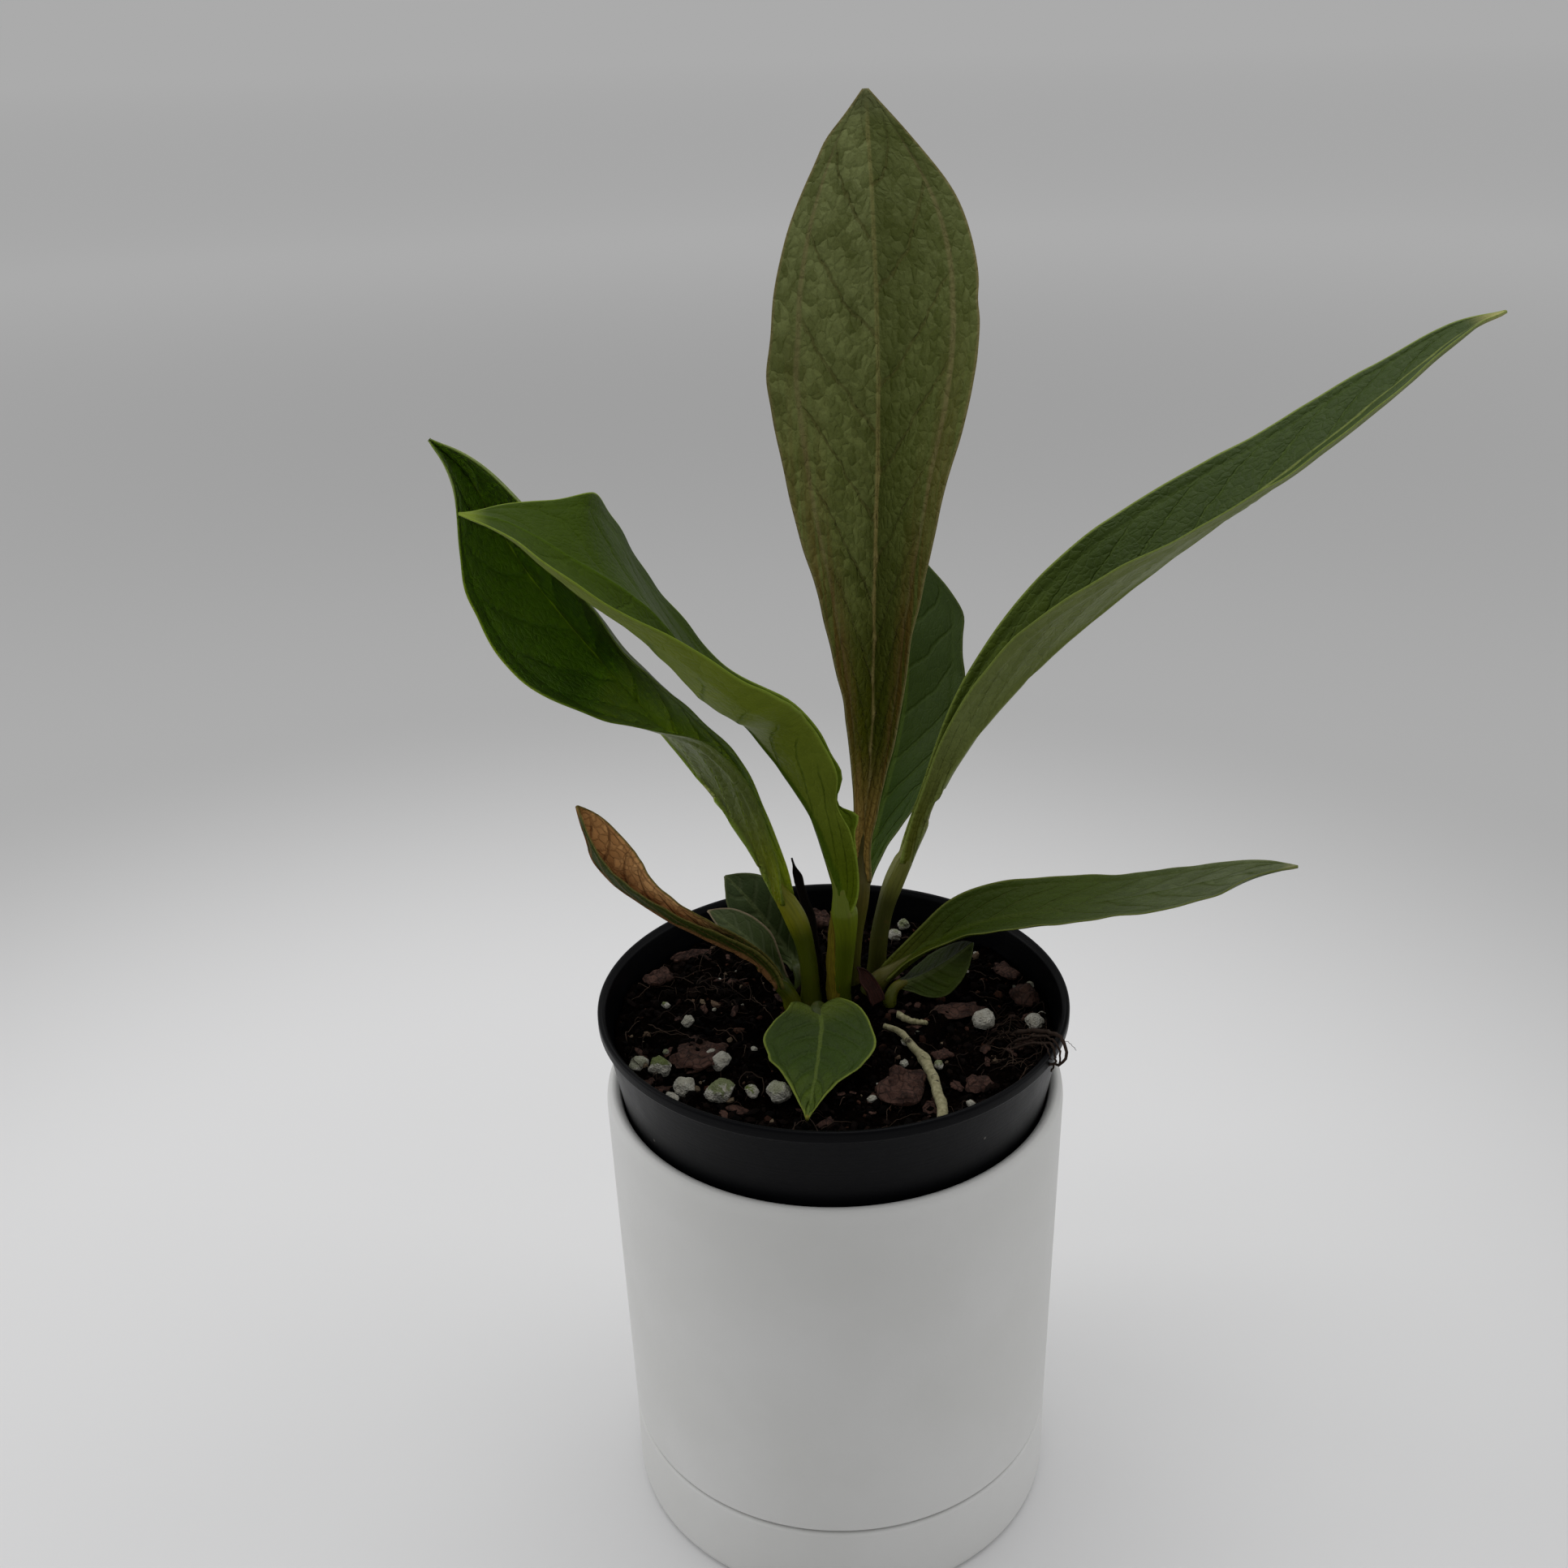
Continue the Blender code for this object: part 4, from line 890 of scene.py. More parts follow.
def stalk_material(name, low, middle, knee, high):
    """A fleshy stalk: faint lengthwise lines, and a paler swelling just under the blade."""
    paint = Paint(name, 0.4, 0.25)
    turn, share, length = paint.split(paint.attribute("stem"))
    lines = paint.join(paint.times(turn, 2.2), paint.times(length, 0.06))
    streak = paint.noise(lines, 2.0, 4.0, 0.6)
    spots = paint.noise(paint.place(), 420.0, 3.0, 0.6)
    paint.colour(paint.spread(share, 0.02, 0.35, tone(low), tone(middle)))
    paint.coat(paint.fade(share, 0.45, 0.62), tone(knee))
    paint.coat(paint.fade(share, 0.74, 0.95), tone(high))
    shade = paint.times(paint.fade(streak, 0.40, 0.68), 0.35)
    paint.coat(shade, tone(low))
    paint.coat(paint.times(paint.fade(spots, 0.56, 0.70), 0.15), tone((86, 60, 34)))
    paint.rough(streak, 0.2, 0.3)
    paint.bump(streak, 0.00018)
    paint.bump(spots, 0.00008)
    return paint.material


def add_stalk(name, leaf, grid, normals, length):
    """The petiole, running on under the blade as its thinning keel."""
    blade = smooth_path(leaf["path"], 30)[0]
    direction = unit(blade[1] - blade[0])
    start = np.array([*leaf["foot"], CROWN_TOP - 1.6])
    end = blade[0]
    reach = 0.35 * np.linalg.norm(end - start)
    share = np.linspace(0, 1, 40)[:, None]
    knots = (start, start + (0, 0, reach), end - direction * reach, end)
    stem = (
        knots[0] * (1 - share) ** 3 + 3 * knots[1] * share * (1 - share) ** 2
        + 3 * knots[2] * share**2 * (1 - share) + knots[3] * share**3
    )
    middle = grid.shape[1] // 2
    reach_rows = int(len(grid) * 0.24)
    keel = grid[1:reach_rows, middle]
    at = np.linspace(0, 1, len(grid))[1:reach_rows]
    sink = np.clip(at / 0.12, 0, 1)[:, None]
    thick = rib_radius(leaf, at)
    keel = keel - normals[1:reach_rows, middle] * (thick[:, None] * 0.30 * sink)
    stem_length = np.linalg.norm(np.diff(stem, axis=0), axis=1).sum()
    before = np.concatenate([(share[:, 0] - 1) * stem_length, at * length])
    swell = 1 + leaf.get("knee", 0.12) * np.exp(-(((before + leaf.get("knee_at", 5)) / 5.0) ** 2))
    swell = swell - 0.04 * np.exp(-(((before + 14) / 4) ** 2))
    foot = 1 + 0.28 * np.exp(-(((share[:, 0] * stem_length) / 3.2) ** 2))
    ebb = 1 - 0.8 * np.clip(at / 0.22, 0, 1) ** 1.5
    radii = np.concatenate([leaf["stalk"] * foot, thick * ebb]) * swell
    points, faces, notes = tube(np.vstack([stem, keel]), radii, STALK_SIDES)
    # The share along the stalk reads the same for every leaf.
    shares = [share[:, 0] * BLADE_START, BLADE_START + 0.3 * np.linspace(0, 1, len(keel))]
    notes[:, 1] = np.repeat(np.concatenate(shares), STALK_SIDES)
    material = stalk_material("stalk_" + name, *STALK_TONES.get(name, PLAIN_STALK))
    add_piece("stalk_" + name, points, faces, material, ["petiole_" + name], True, {"stem": notes})


# ---- pots ----


def lathe_piece(name, profile, material):
    """A profile of (radius, height) points turned about the Z axis, with both ends on the axis."""
    points = [point for radius, height in profile[1:-1] for point in ring(radius, height, POT_AROUND)]
    faces = ring_faces(len(profile) - 2, POT_AROUND)
    first = len(points)
    last = first - POT_AROUND
    for step in range(POT_AROUND):
        after = (step + 1) % POT_AROUND
        faces.append((first, after, step))
        faces.append((first + 1, last + step, last + after))
    points += [(0, 0, profile[0][1]), (0, 0, profile[-1][1])]
    return add_piece(name, points, faces, material, [name.replace("_shell", "")])


def rounded(profile, reach, steps=5):
    """The profile with each inner corner rounded."""
    out = [profile[0]]
    for before, corner, after in zip(profile, profile[1:], profile[2:]):
        before, corner, after = (np.array(point, float) for point in (before, corner, after))
        back = before - corner
        ahead = after - corner
        cut = min(reach, 0.45 * np.linalg.norm(back), 0.45 * np.linalg.norm(ahead))
        start = corner + back / np.linalg.norm(back) * cut
        end = corner + ahead / np.linalg.norm(ahead) * cut
        for step in range(steps + 1):
            t = step / steps
            out.append(tuple(start * (1 - t) ** 2 + corner * 2 * t * (1 - t) + end * t**2))
    out.append(profile[-1])
    return out


def ceramic_material():
    """Satin white with a faint unevenness and a few dark specks."""
    paint = Paint("white_ceramic", 0.45, 0.3)
    place = paint.place()
    cloud = paint.noise(place, 28.0, 4.0, 0.5)
    paint.colour(paint.spread(cloud, 0.35, 0.7, (0.665, 0.665, 0.65, 1), (0.70, 0.70, 0.69, 1)))
    speck_cell = paint.cells(place, 95.0)
    speck_pick = paint.split(paint.cells(place, 95.0, "F1", "Color"))[0]
    specks = paint.times(paint.fall(speck_cell, 0.045, 0.08), paint.math("GREATER_THAN", speck_pick, 0.965))
    paint.coat(paint.times(specks, 0.6), (0.20, 0.18, 0.15, 1))
    fine = paint.noise(place, 900.0, 3.0, 0.6)
    paint.rough(fine, 0.16, 0.42)
    paint.bump(fine, 0.00004)
    paint.bump(cloud, 0.0004)
    return paint.material


def plastic_material():
    """Moulded black plastic: faint rings from the mould, a fine grain and a little dust."""
    paint = Paint("nursery_plastic", 0.36, 0.07)
    place = paint.place()
    height = paint.split(place)[2]
    rings = paint.noise(paint.join(paint.times(height, 700.0), 0.0), 1.0, 3.0, 0.6)
    grain = paint.noise(place, 1500.0, 3.0, 0.6)
    dust = paint.cells(place, 260.0)
    dust_pick = paint.split(paint.cells(place, 260.0, "F1", "Color"))[0]
    dust = paint.times(paint.fall(dust, 0.03, 0.12), paint.math("GREATER_THAN", dust_pick, 0.95))
    scuffs = paint.noise(place, 120.0, 5.0, 0.7)
    paint.colour(paint.spread(scuffs, 0.55, 0.8, (0.0012, 0.0013, 0.0020, 1), (0.0030, 0.0031, 0.0040, 1)))
    paint.coat(paint.times(dust, 0.5), (0.22, 0.21, 0.19, 1))
    paint.rough(scuffs, 0.22, 0.26)
    paint.bump(rings, 0.00006)
    paint.bump(grain, 0.00003)
    return paint.material


def add_pots():
    white = ceramic_material()
    black = plastic_material()
    saucer = [
        (0, 0.4), (44, 0.4), (44.8, 0), (49.2, 0), (50.1, 0.9), (50.5, 2.2), (50.5, 19.5), (50.1, 20.2),
        (47.2, 20.2), (46.8, 19.6), (46.8, 4.6), (46.2, 4.0), (0, 4.0),
    ]
    lathe_piece("saucer_shell", rounded(saucer, 0.6), white)
    planter = [
        (6.0, 10.0), (6.0, 4.3), (44.6, 4.3), (46.2, 5.9), (46.2, 20.75), (50.0, 20.75), (50.5, 21.3),
        (51.9, 107.4), (51.55, 109.3), (50.6, 110.15), (49.8, 110.2), (48.9, 109.7), (48.45, 108.6),
        (48.15, 105.2), (47.6, 98.2), (47.2, 29.7), (42.8, 24.2), (42.8, 13.0), (40.2, 10.0), (6.0, 10.0),
    ]
    outline = rounded(planter, 1.2)[:-1]
    points = [point for radius, height in outline for point in ring(radius, height, POT_AROUND)]
    faces = ring_faces(len(outline), POT_AROUND, closed=True)
    add_piece("planter_shell", points, faces, white, ["planter"])
    wall = NURSERY_WALL
    inner_top = MIX_LEVEL + 1.4
    inner_floor = NURSERY_BOTTOM + NURSERY_FLOOR
    rim = NURSERY_RIM_RADIUS
    top = NURSERY_RIM_TOP
    pot = [
        (0, NURSERY_BOTTOM), (NURSERY_BOTTOM_RADIUS - 0.8, NURSERY_BOTTOM),
        (NURSERY_BOTTOM_RADIUS, NURSERY_BOTTOM + 0.8), (nursery_radius(110), 110), (rim - 1.1, top - 3.0),
        (rim - 0.2, top - 2.7), (rim, top - 2.3), (rim, top - 0.4), (rim - 0.3, top), (rim - 0.9, top),
        (rim - 1.25, top - 0.4), (rim - 1.8, top - 1.0), (rim - 2.6, inner_top + 1.6),
        (rim - 3.3, inner_top - 2.0),
        (nursery_radius(inner_top - 6) - wall, inner_top - 6),
        (nursery_radius(inner_floor) - wall, inner_floor + 0.6),
        (nursery_radius(inner_floor) - wall - 0.6, inner_floor), (0, inner_floor),
    ]
    shell = lathe_piece("nursery_pot_shell", rounded(pot, 0.5, 3), black)
    for index in range(DRAIN_HOLES):
        turn = 2 * math.pi * (index + 0.37) / DRAIN_HOLES
        size = DRAIN_RADIUS * MM
        depth = DRAIN_DEPTH * MM
        drill = bmesh.new()
        bmesh.ops.create_cone(drill, cap_ends=True, segments=40, depth=depth, radius1=size, radius2=size)
        mesh = bpy.data.meshes.new("drill")
        drill.to_mesh(mesh)
        drill.free()
        cutter = add_object("drill", mesh)
        away = DRAIN_RING * MM
        cutter.location = (away * math.cos(turn), away * math.sin(turn), inner_floor * MM)
        cut = shell.modifiers.new("drain", "BOOLEAN")
        cut.operation = "DIFFERENCE"
        cut.solver = "EXACT"
        cut.object = cutter
        bpy.context.view_layer.objects.active = shell
        bpy.ops.object.modifier_apply(modifier=cut.name)
        bpy.data.objects.remove(cutter)


# ---- what lies in the nursery pot ----


def mix_height(x, y):
    """The potting mix's surface, as in the CAD model."""
    away = math.hypot(x - CROWN_CENTRE[0], y - CROWN_CENTRE[1])
    lumps = 0.35 * math.sin(0.31 * x + 1.0) * math.cos(0.27 * y) + 0.25 * math.sin(0.52 * y - 0.4 * x)
    return MIX_LEVEL + MIX_RISE * math.exp(-((away / 24) ** 2)) + lumps


def rough_height(x, y):
    """The mix as it looks close up: clods and hollows on top of its general shape."""
    clods = noise.noise(Vector((x, y, 3.0)) * 0.22) * 1.5 + noise.noise(Vector((x, y, 9.0)) * 0.7) * 0.8
    bank = 1.6 * min(1.0, max(0.0, (math.hypot(x, y) - 40) / 7)) * min(1.0, max(0.0, 0.6 - y / 60))
    return mix_height(x, y) + clods + bank - 0.1


def nursery_radius(height):
    """The nursery pot's outer radius at this height."""
    share = (height - NURSERY_BOTTOM) / (NURSERY_WALL_TOP - NURSERY_BOTTOM)
    return NURSERY_BOTTOM_RADIUS + share * (NURSERY_TOP_RADIUS - NURSERY_BOTTOM_RADIUS)


def mix_material(name):
    """Moist peat and coir, nearly black, with brown shreds."""
    paint = Paint(name, 0.9, 0.0)
    place = paint.place()
    clods = paint.noise(place, 260.0, 5.0, 0.7)
    shreds = paint.noise(place, 900.0, 4.0, 0.7, 1.5)
    paint.colour(paint.spread(clods, 0.35, 0.7, (0.0009, 0.0007, 0.0006, 1), (0.0035, 0.0021, 0.0016, 1)))
    paint.coat(paint.fade(shreds, 0.60, 0.74), (0.030, 0.016, 0.011, 1))
    paint.rough(clods, 0.4, 0.55)
    paint.bump(clods, 0.0012)
    paint.bump(shreds, 0.0004)
    return paint.material


def add_mix(material):
    """The plug of mix: a rough top in rings, and plain rings down the pot's wall."""
    edge = nursery_radius(MIX_LEVEL) - 0.70
    points = []
    for share in np.linspace(0.02, 1, MIX_RINGS):
        level = ring(share * edge, 0, MIX_AROUND)
        points += [(x, y, rough_height(x, y)) for x, y, _ in level]
    for height in (MIX_LEVEL - 4, 100, 70, NURSERY_BOTTOM + 3.5):
        points += ring(nursery_radius(height) - 1.6, height, MIX_AROUND)
    faces = ring_faces(len(points) // MIX_AROUND, MIX_AROUND)
    faces.append(tuple(range(MIX_AROUND))[::-1])
    faces.append(tuple(range(len(points) - MIX_AROUND, len(points))))
    add_piece("mix_body", points, faces, material, ["potting_mix"])


def scatter(chance):
    """A place on the mix, inside the pot's wall."""
    radius = STREWN_RADIUS * math.sqrt(chance.uniform(0.0, 1.0))
    turn = chance.uniform(0, 2 * math.pi)
    return radius * math.cos(turn), radius * math.sin(turn)


def lump_shape(detail):
    """Corners and faces of a small ball to knead into crumbs and grains."""
    ball = bmesh.new()
    bmesh.ops.create_icosphere(ball, subdivisions=detail, radius=1.0)
    ball.verts.index_update()
    corners = np.array([vertex.co[:] for vertex in ball.verts])
    faces = [tuple(vertex.index for vertex in face.verts) for face in ball.faces]
    ball.free()
    return corners, faces


def turned(points, chance):
    """The points turned a random way."""
    x, y, z, w = (chance.gauss(0, 1) for _ in range(4))
    size = math.sqrt(x * x + y * y + z * z + w * w)
    x, y, z, w = x / size, y / size, z / size, w / size
    turn = np.array([
        (1 - 2 * (y * y + z * z), 2 * (x * y - z * w), 2 * (x * z + y * w)),
        (2 * (x * y + z * w), 1 - 2 * (x * x + z * z), 2 * (y * z - x * w)),
        (2 * (x * z - y * w), 2 * (y * z + x * w), 1 - 2 * (x * x + y * y)),
    ])
    return points @ turn.T


def crumb_material():
    """Crumbs of peat, charcoal and bark, each of its own shade."""
    paint = Paint("mix_crumbs", 0.9, 0.03)
    shade, red, _ = paint.split(paint.attribute("tint"))
    place = paint.place()
    grain = paint.noise(place, 1100.0, 4.0, 0.7)
    paint.colour(paint.mix(shade, (0.0008, 0.0006, 0.0005, 1), (0.0075, 0.0040, 0.0029, 1)))
    paint.coat(paint.fade(red, 0.92, 0.97), (0.060, 0.026, 0.017, 1))
    paint.coat(paint.fade(red, 0.975, 0.99), (0.16, 0.12, 0.08, 1))
    paint.coat(paint.times(paint.fade(grain, 0.45, 0.75), 0.5), (0.002, 0.002, 0.002, 1))
    paint.rough(grain, 0.5, 0.5)
    paint.bump(grain, 0.0004)
    return paint.material


def add_crumbs():
    chance = random.Random(CRUMB_SEED)
    corners, ball = lump_shape(1)
    heap = Heap()
    for _ in range(CRUMBS):
        x, y = scatter(chance)
        size = 0.35 + 1.15 * chance.random() ** 3.2
        shape = corners * np.array([[chance.uniform(0.65, 1.15)] for _ in corners])
        shape = shape * (chance.uniform(0.7, 1.5), chance.uniform(0.6, 1.0), chance.uniform(0.4, 0.9)) * size
        shape = turned(shape, chance) + (x, y, rough_height(x, y) + size * 0.25)
        tint = (chance.random() ** 1.6, chance.random(), 0)
        heap.add(shape, ball, [tint] * len(corners))
    add_heap("mix_crumbs", heap, crumb_material(), False)


def fibre_material():
    """Coir and fine dead roots, tan to dark brown."""
    paint = Paint("fibres", 0.8, 0.1)
    shade = paint.split(paint.attribute("tint"))[0]
    grain = paint.noise(paint.place(), 800.0, 3.0, 0.6)
    paint.colour(paint.mix(shade, (0.008, 0.004, 0.003, 1), (0.085, 0.055, 0.038, 1)))
    paint.coat(paint.times(grain, 0.6), (0.01, 0.006, 0.004, 1))
    paint.rough(grain, 0.3, 0.6)
    paint.bump(grain, 0.0001)
    return paint.material


def tapered(radius, count):
    """Radii that fall to half along a strand."""
    return radius * (1 - 0.5 * np.linspace(0, 1, count))


def add_fibres():
    """Thin fibres strewn over the mix, thickest at the right, where a tuft of coir hangs over the rim."""
    chance = random.Random(FIBRE_SEED)
    heap = Heap()
    strands = []
    for index in range(FIBRES):
        if index < 70:
            x, y = chance.gauss(39, 5.5), chance.gauss(-10, 7)
            heading = chance.gauss(0.45, 0.5)
            size = chance.uniform(5, 13)
        elif index < 120:
            x, y = chance.gauss(-30, 9), chance.gauss(12, 9)
            heading = chance.uniform(0, 6.3)
            size = chance.uniform(4, 11)
        else:
            x, y = scatter(chance)
            heading = chance.uniform(0, 6.3)
            size = chance.uniform(3, 11)
        strands.append((x, y, heading, size, chance.uniform(0.05, 0.15), chance.uniform(-0.14, 0.14)))
    strands += CURLS
    for x, y, heading, size, radius, bend in strands:
        line = []
        count = 12
        rise = chance.uniform(0.3, 1.6)
        for step in range(count):
            limit = math.hypot(x, y)
            if limit > FIBRE_LIMIT:
                x, y = x * FIBRE_LIMIT / limit, y * FIBRE_LIMIT / limit
            arch = rise * math.sin(math.pi * step / (count - 1))
            line.append((x, y, rough_height(x, y) + 0.35 + arch + chance.uniform(-0.1, 0.1)))
            heading += bend + chance.gauss(0, 0.16)
            x += math.cos(heading) * size / count
            y += math.sin(heading) * size / count
        strand, sides, _ = tube(line, tapered(radius, count), 5)
        heap.add(strand, sides, [(chance.random() ** 1.5, 0, 0)] * len(strand))
    for corners, radius in TUFT:
        count = 30
        sway = [[chance.gauss(0, 0.12) for _ in range(3)] for _ in range(count)]
        line = smooth_path(corners, count)[0] + np.array(sway)
        strand, sides, _ = tube(line, tapered(radius, count), 6)
        heap.add(strand, sides, [(0.25, 0, 0)] * len(strand))
    add_heap("fibres", heap, fibre_material())


def bark_material():
    """Pine bark: red brown plates with darker cracks and paler worn flecks."""
    paint = Paint("bark", 0.85, 0.12)
    place = paint.place()
    plates = paint.noise(place, 330.0, 5.0, 0.65, 0.8)
    cracks = paint.cells(place, 420.0, "DISTANCE_TO_EDGE")
    fine = paint.noise(place, 1600.0, 4.0, 0.7)
    paint.colour(paint.spread(plates, 0.32, 0.68, (0.026, 0.012, 0.009, 1), (0.085, 0.043, 0.032, 1)))
    paint.coat(paint.fade(fine, 0.60, 0.75), (0.15, 0.075, 0.052, 1))
    paint.coat(paint.fade(cracks, 0.0, 0.10, 0.7, 0.0), (0.010, 0.006, 0.005, 1))
    paint.rough(fine, 0.35, 0.55)
    paint.bump(plates, 0.0012)
    paint.bump(fine, 0.0003)
    return paint.material


def bark_shape(chance, length, width, thick):
    """A flaky chip: a ragged outline, a top in steps like torn layers, and a flatter underside."""
    rings, around = 8, 30
    seed = chance.uniform(0, 100)
    points = []
    for level in (1, 0):
        for index in range(1, rings + 1):
            share = index / rings
            for step in range(around):
                turn = 2 * math.pi * step / around
                ragged = 1 + 0.34 * noise.noise(Vector((math.cos(turn) * 1.4, math.sin(turn) * 1.4, seed)))
                ragged += 0.20 * noise.noise(Vector((math.cos(turn) * 5, math.sin(turn) * 5, seed + 7)))
                square = max(abs(math.cos(turn)), abs(math.sin(turn))) ** -0.6
                x = share * ragged * square * length / 2 * math.cos(turn)
                y = share * ragged * square * width / 2 * math.sin(turn)
                height = 0.25 * thick * noise.noise(Vector((x, y, seed)) * 0.5)
                if level:
                    layer = 0.5 + 0.8 * noise.noise(Vector((x * 0.5, y, seed + 3)) * 0.35)
                    height += thick * (0.55 + 0.45 * round(layer * 4) / 4)
                    height -= 0.30 * thick * share**6
                    height += 0.12 * noise.noise(Vector((x, y, seed)) * 1.8)
                else:
                    height += 0.35 * thick * share**4
                points.append((x, y, height))
    faces = []
    half = rings * around
    for base in (0, half):
        faces += ring_faces(rings, around, base)
        faces.append(tuple(range(base, base + around)))
    faces += ring_faces(2, around, half - around, half)
    return np.array(points), faces


def settle(points, heading, x, y, height, tilt=(0.0, 0.0)):
    """The points tilted, turned to their heading and put in place."""
    turn = Matrix.Rotation(math.radians(heading), 3, "Z") @ Matrix.Rotation(tilt[0], 3, "X")
    turn = turn @ Matrix.Rotation(tilt[1], 3, "Y")
    return np.asarray(points) @ np.array(turn).T + (x, y, height)


def add_bark():
    material = bark_material()
    for index, (x, y, length, width, thick, heading) in enumerate(BARK, 1):
        chance = random.Random(CHIP_SEED + index)
        points, faces = bark_shape(chance, length, width, thick)
        low = mix_height(x, y) + 0.1
        tilt = (chance.uniform(-0.10, 0.10), chance.uniform(-0.10, 0.10))
        points = settle(points, heading, x, y, low, tilt)
        add_piece(f"bark_chip_{index:02d}", points, faces, material, [f"bark_{index:02d}"], False)
    chance = random.Random(FLAKE_SEED)
    heap = Heap()
    for _ in range(FLAKES):
        x, y = scatter(chance)
        size = chance.uniform(1.4, 4.2)
        shape, sides = bark_shape(chance, size, size * chance.uniform(0.35, 0.8), size * 0.22)
        tilt = (chance.uniform(-0.5, 0.5), chance.uniform(-0.5, 0.5))
        heading = chance.uniform(0, 360)
        heap.add(settle(shape, heading, x, y, rough_height(x, y) + 0.3, tilt), sides)
    add_heap("bark_flakes", heap, material, False)


def perlite_material():
    """Puffed white glass, greyer in places, with pits darker at their middles and green algae on some grains.
    """
    paint = Paint("perlite", 0.8, 0.2)
    place = paint.place()
    green, high, _ = paint.split(paint.attribute("tint"))
    pits = paint.cells(place, 2300.0)
    cloud = paint.noise(place, 500.0, 4.0, 0.65)
    paint.colour(paint.spread(cloud, 0.3, 0.75, (0.30, 0.285, 0.235, 1), (0.44, 0.43, 0.38, 1)))
    # The pits are painted darker at their middles.
    paint.coat(paint.fade(pits, 0.0, 0.35, 0.45, 0.0), (0.12, 0.105, 0.08, 1))
    algae = paint.noise(place, 330.0, 4.0, 0.7, 0.7)
    patch = paint.math("SUBTRACT", paint.times_plus(high, 0.25, algae), 0.62)
    patch = paint.times(paint.fade(patch, -0.06, 0.06), green)
    paint.coat(patch, (0.085, 0.115, 0.018, 1))
    paint.rough(cloud, 0.3, 0.6)
    paint.bump(pits, 0.0003)
    paint.bump(cloud, 0.0005)
    return paint.material


def grain_shape(chance, radius, stretch, corners):
    """A puffed grain: rounded, with a few flats and dents."""
    seed = chance.uniform(0, 50)
    flats = [unit(np.array([chance.gauss(0, 1) for _ in range(3)])) for _ in range(5)]
    shape = []
    for corner in corners:
        size = 1 + 0.30 * noise.noise(Vector(corner) * 1.3 + Vector((seed, 0, 0)))
        size += 0.12 * noise.noise(Vector(corner) * 3.6 + Vector((0, seed, 0)))
        for flat in flats:
            size = min(size, 0.86 / max(0.2, float(corner @ flat))) if corner @ flat > 0.75 else size
        shape.append(corner * size)
    return np.array(shape) * (stretch, 1.0, 0.92) * radius


def add_perlite():
    material = perlite_material()
    corners, ball = lump_shape(4)
    for index, (x, y, radius, stretch, green) in enumerate(PERLITE, 1):
        chance = random.Random(GRAIN_SEED + index)
        shape = grain_shape(chance, radius, stretch, corners)
        points = settle(shape, chance.uniform(0, 180), x, y, mix_height(x, y) + radius * 0.85)
        tint = np.stack([np.full(len(shape), green), shape[:, 2] / radius, np.zeros(len(shape))], axis=-1)
        name = f"perlite_grain_{index:02d}"
        add_piece(name, points, ball, material, [f"perlite_{index:02d}"], True, {"tint": tint})
    chance = random.Random(SMALL_GRAIN_SEED)
    corners, ball = lump_shape(3)
    heap = Heap()
    grains = list(SMALL_PERLITE)
    for _ in range(GRAINS):
        grains.append((*scatter(chance), chance.uniform(0.25, 0.6), chance.choice((0.0, 0.3))))
    for x, y, radius, green in grains:
        shape = grain_shape(chance, radius, chance.uniform(1.0, 1.5), corners)
        points = settle(shape, chance.uniform(0, 180), x, y, rough_height(x, y) + radius * 0.8)
        heap.add(points, ball, [(green, height, 0) for height in shape[:, 2] / radius])
    add_heap("perlite_small", heap, material)


def root_material():
    """A live root: pale green cream with a spongy skin, stained by the mix."""
    paint = Paint("root", 0.65, 0.25)
    turn, _, length = paint.split(paint.attribute("stem"))
    place = paint.place()
    skin = paint.noise(place, 900.0, 4.0, 0.6)
    rings = paint.noise(paint.join(paint.times(turn, 0.4), paint.times(length, 1.6)), 1.0, 4.0, 0.6)
    stains = paint.noise(place, 300.0, 4.0, 0.7, 0.6)
    paint.colour(paint.spread(skin, 0.3, 0.7, (0.21, 0.19, 0.10, 1), (0.36, 0.33, 0.20, 1)))
    paint.coat(paint.times(paint.fade(rings, 0.45, 0.65), 0.45), (0.15, 0.16, 0.06, 1))
    paint.coat(paint.fade(stains, 0.56, 0.66), (0.030, 0.022, 0.010, 1))
    paint.rough(skin, 0.3, 0.5)
    paint.bump(rings, 0.0004)
    paint.bump(skin, 0.0002)
    return paint.material


def add_roots():
    material = root_material()
    # noise_vector gives other values in each run unless its seed is set.
    noise.seed_set(ROOT_SEED)
    for name, (plan, radius) in ROOTS.items():
        count = 90
        corners = [(x, y, mix_height(x, y) + radius + 0.25) for x, y in plan]
        path = smooth_path(corners, count)[0]
        sway = [noise.noise_vector(Vector((index * 0.13, 5.0, 0.0)))[:] for index in range(count)]
        path = path + np.array(sway) * (0.35, 0.35, 0.15)
        at = np.linspace(0, 1, count)
        thick = np.array([1 + 0.16 * noise.noise(Vector((index * 0.16, 0.0, 2.0))) for index in range(count)])
        swell = 0.50 + 0.42 * np.clip(at / 0.5, 0, 1) if name == "front" else 1.1 - 0.5 * at
        knee = 1 + 0.30 * np.exp(-(((at - 0.42) / 0.05) ** 2)) if name == "front" else 1.0
        points, faces, notes = tube(path, radius * thick * swell * knee, ROOT_SIDES)
        rough = [0.07 * noise.noise(Vector(point) * 1.6) for point in points]
        centres = np.repeat(path, ROOT_SIDES, axis=0)
        points = points + unit(points - centres + 1e-9) * np.array(rough)[:, None]
        name = "root_" + name
        add_piece(name.replace("_", "_run_"), points, faces, material, [name], True, {"stem": notes})


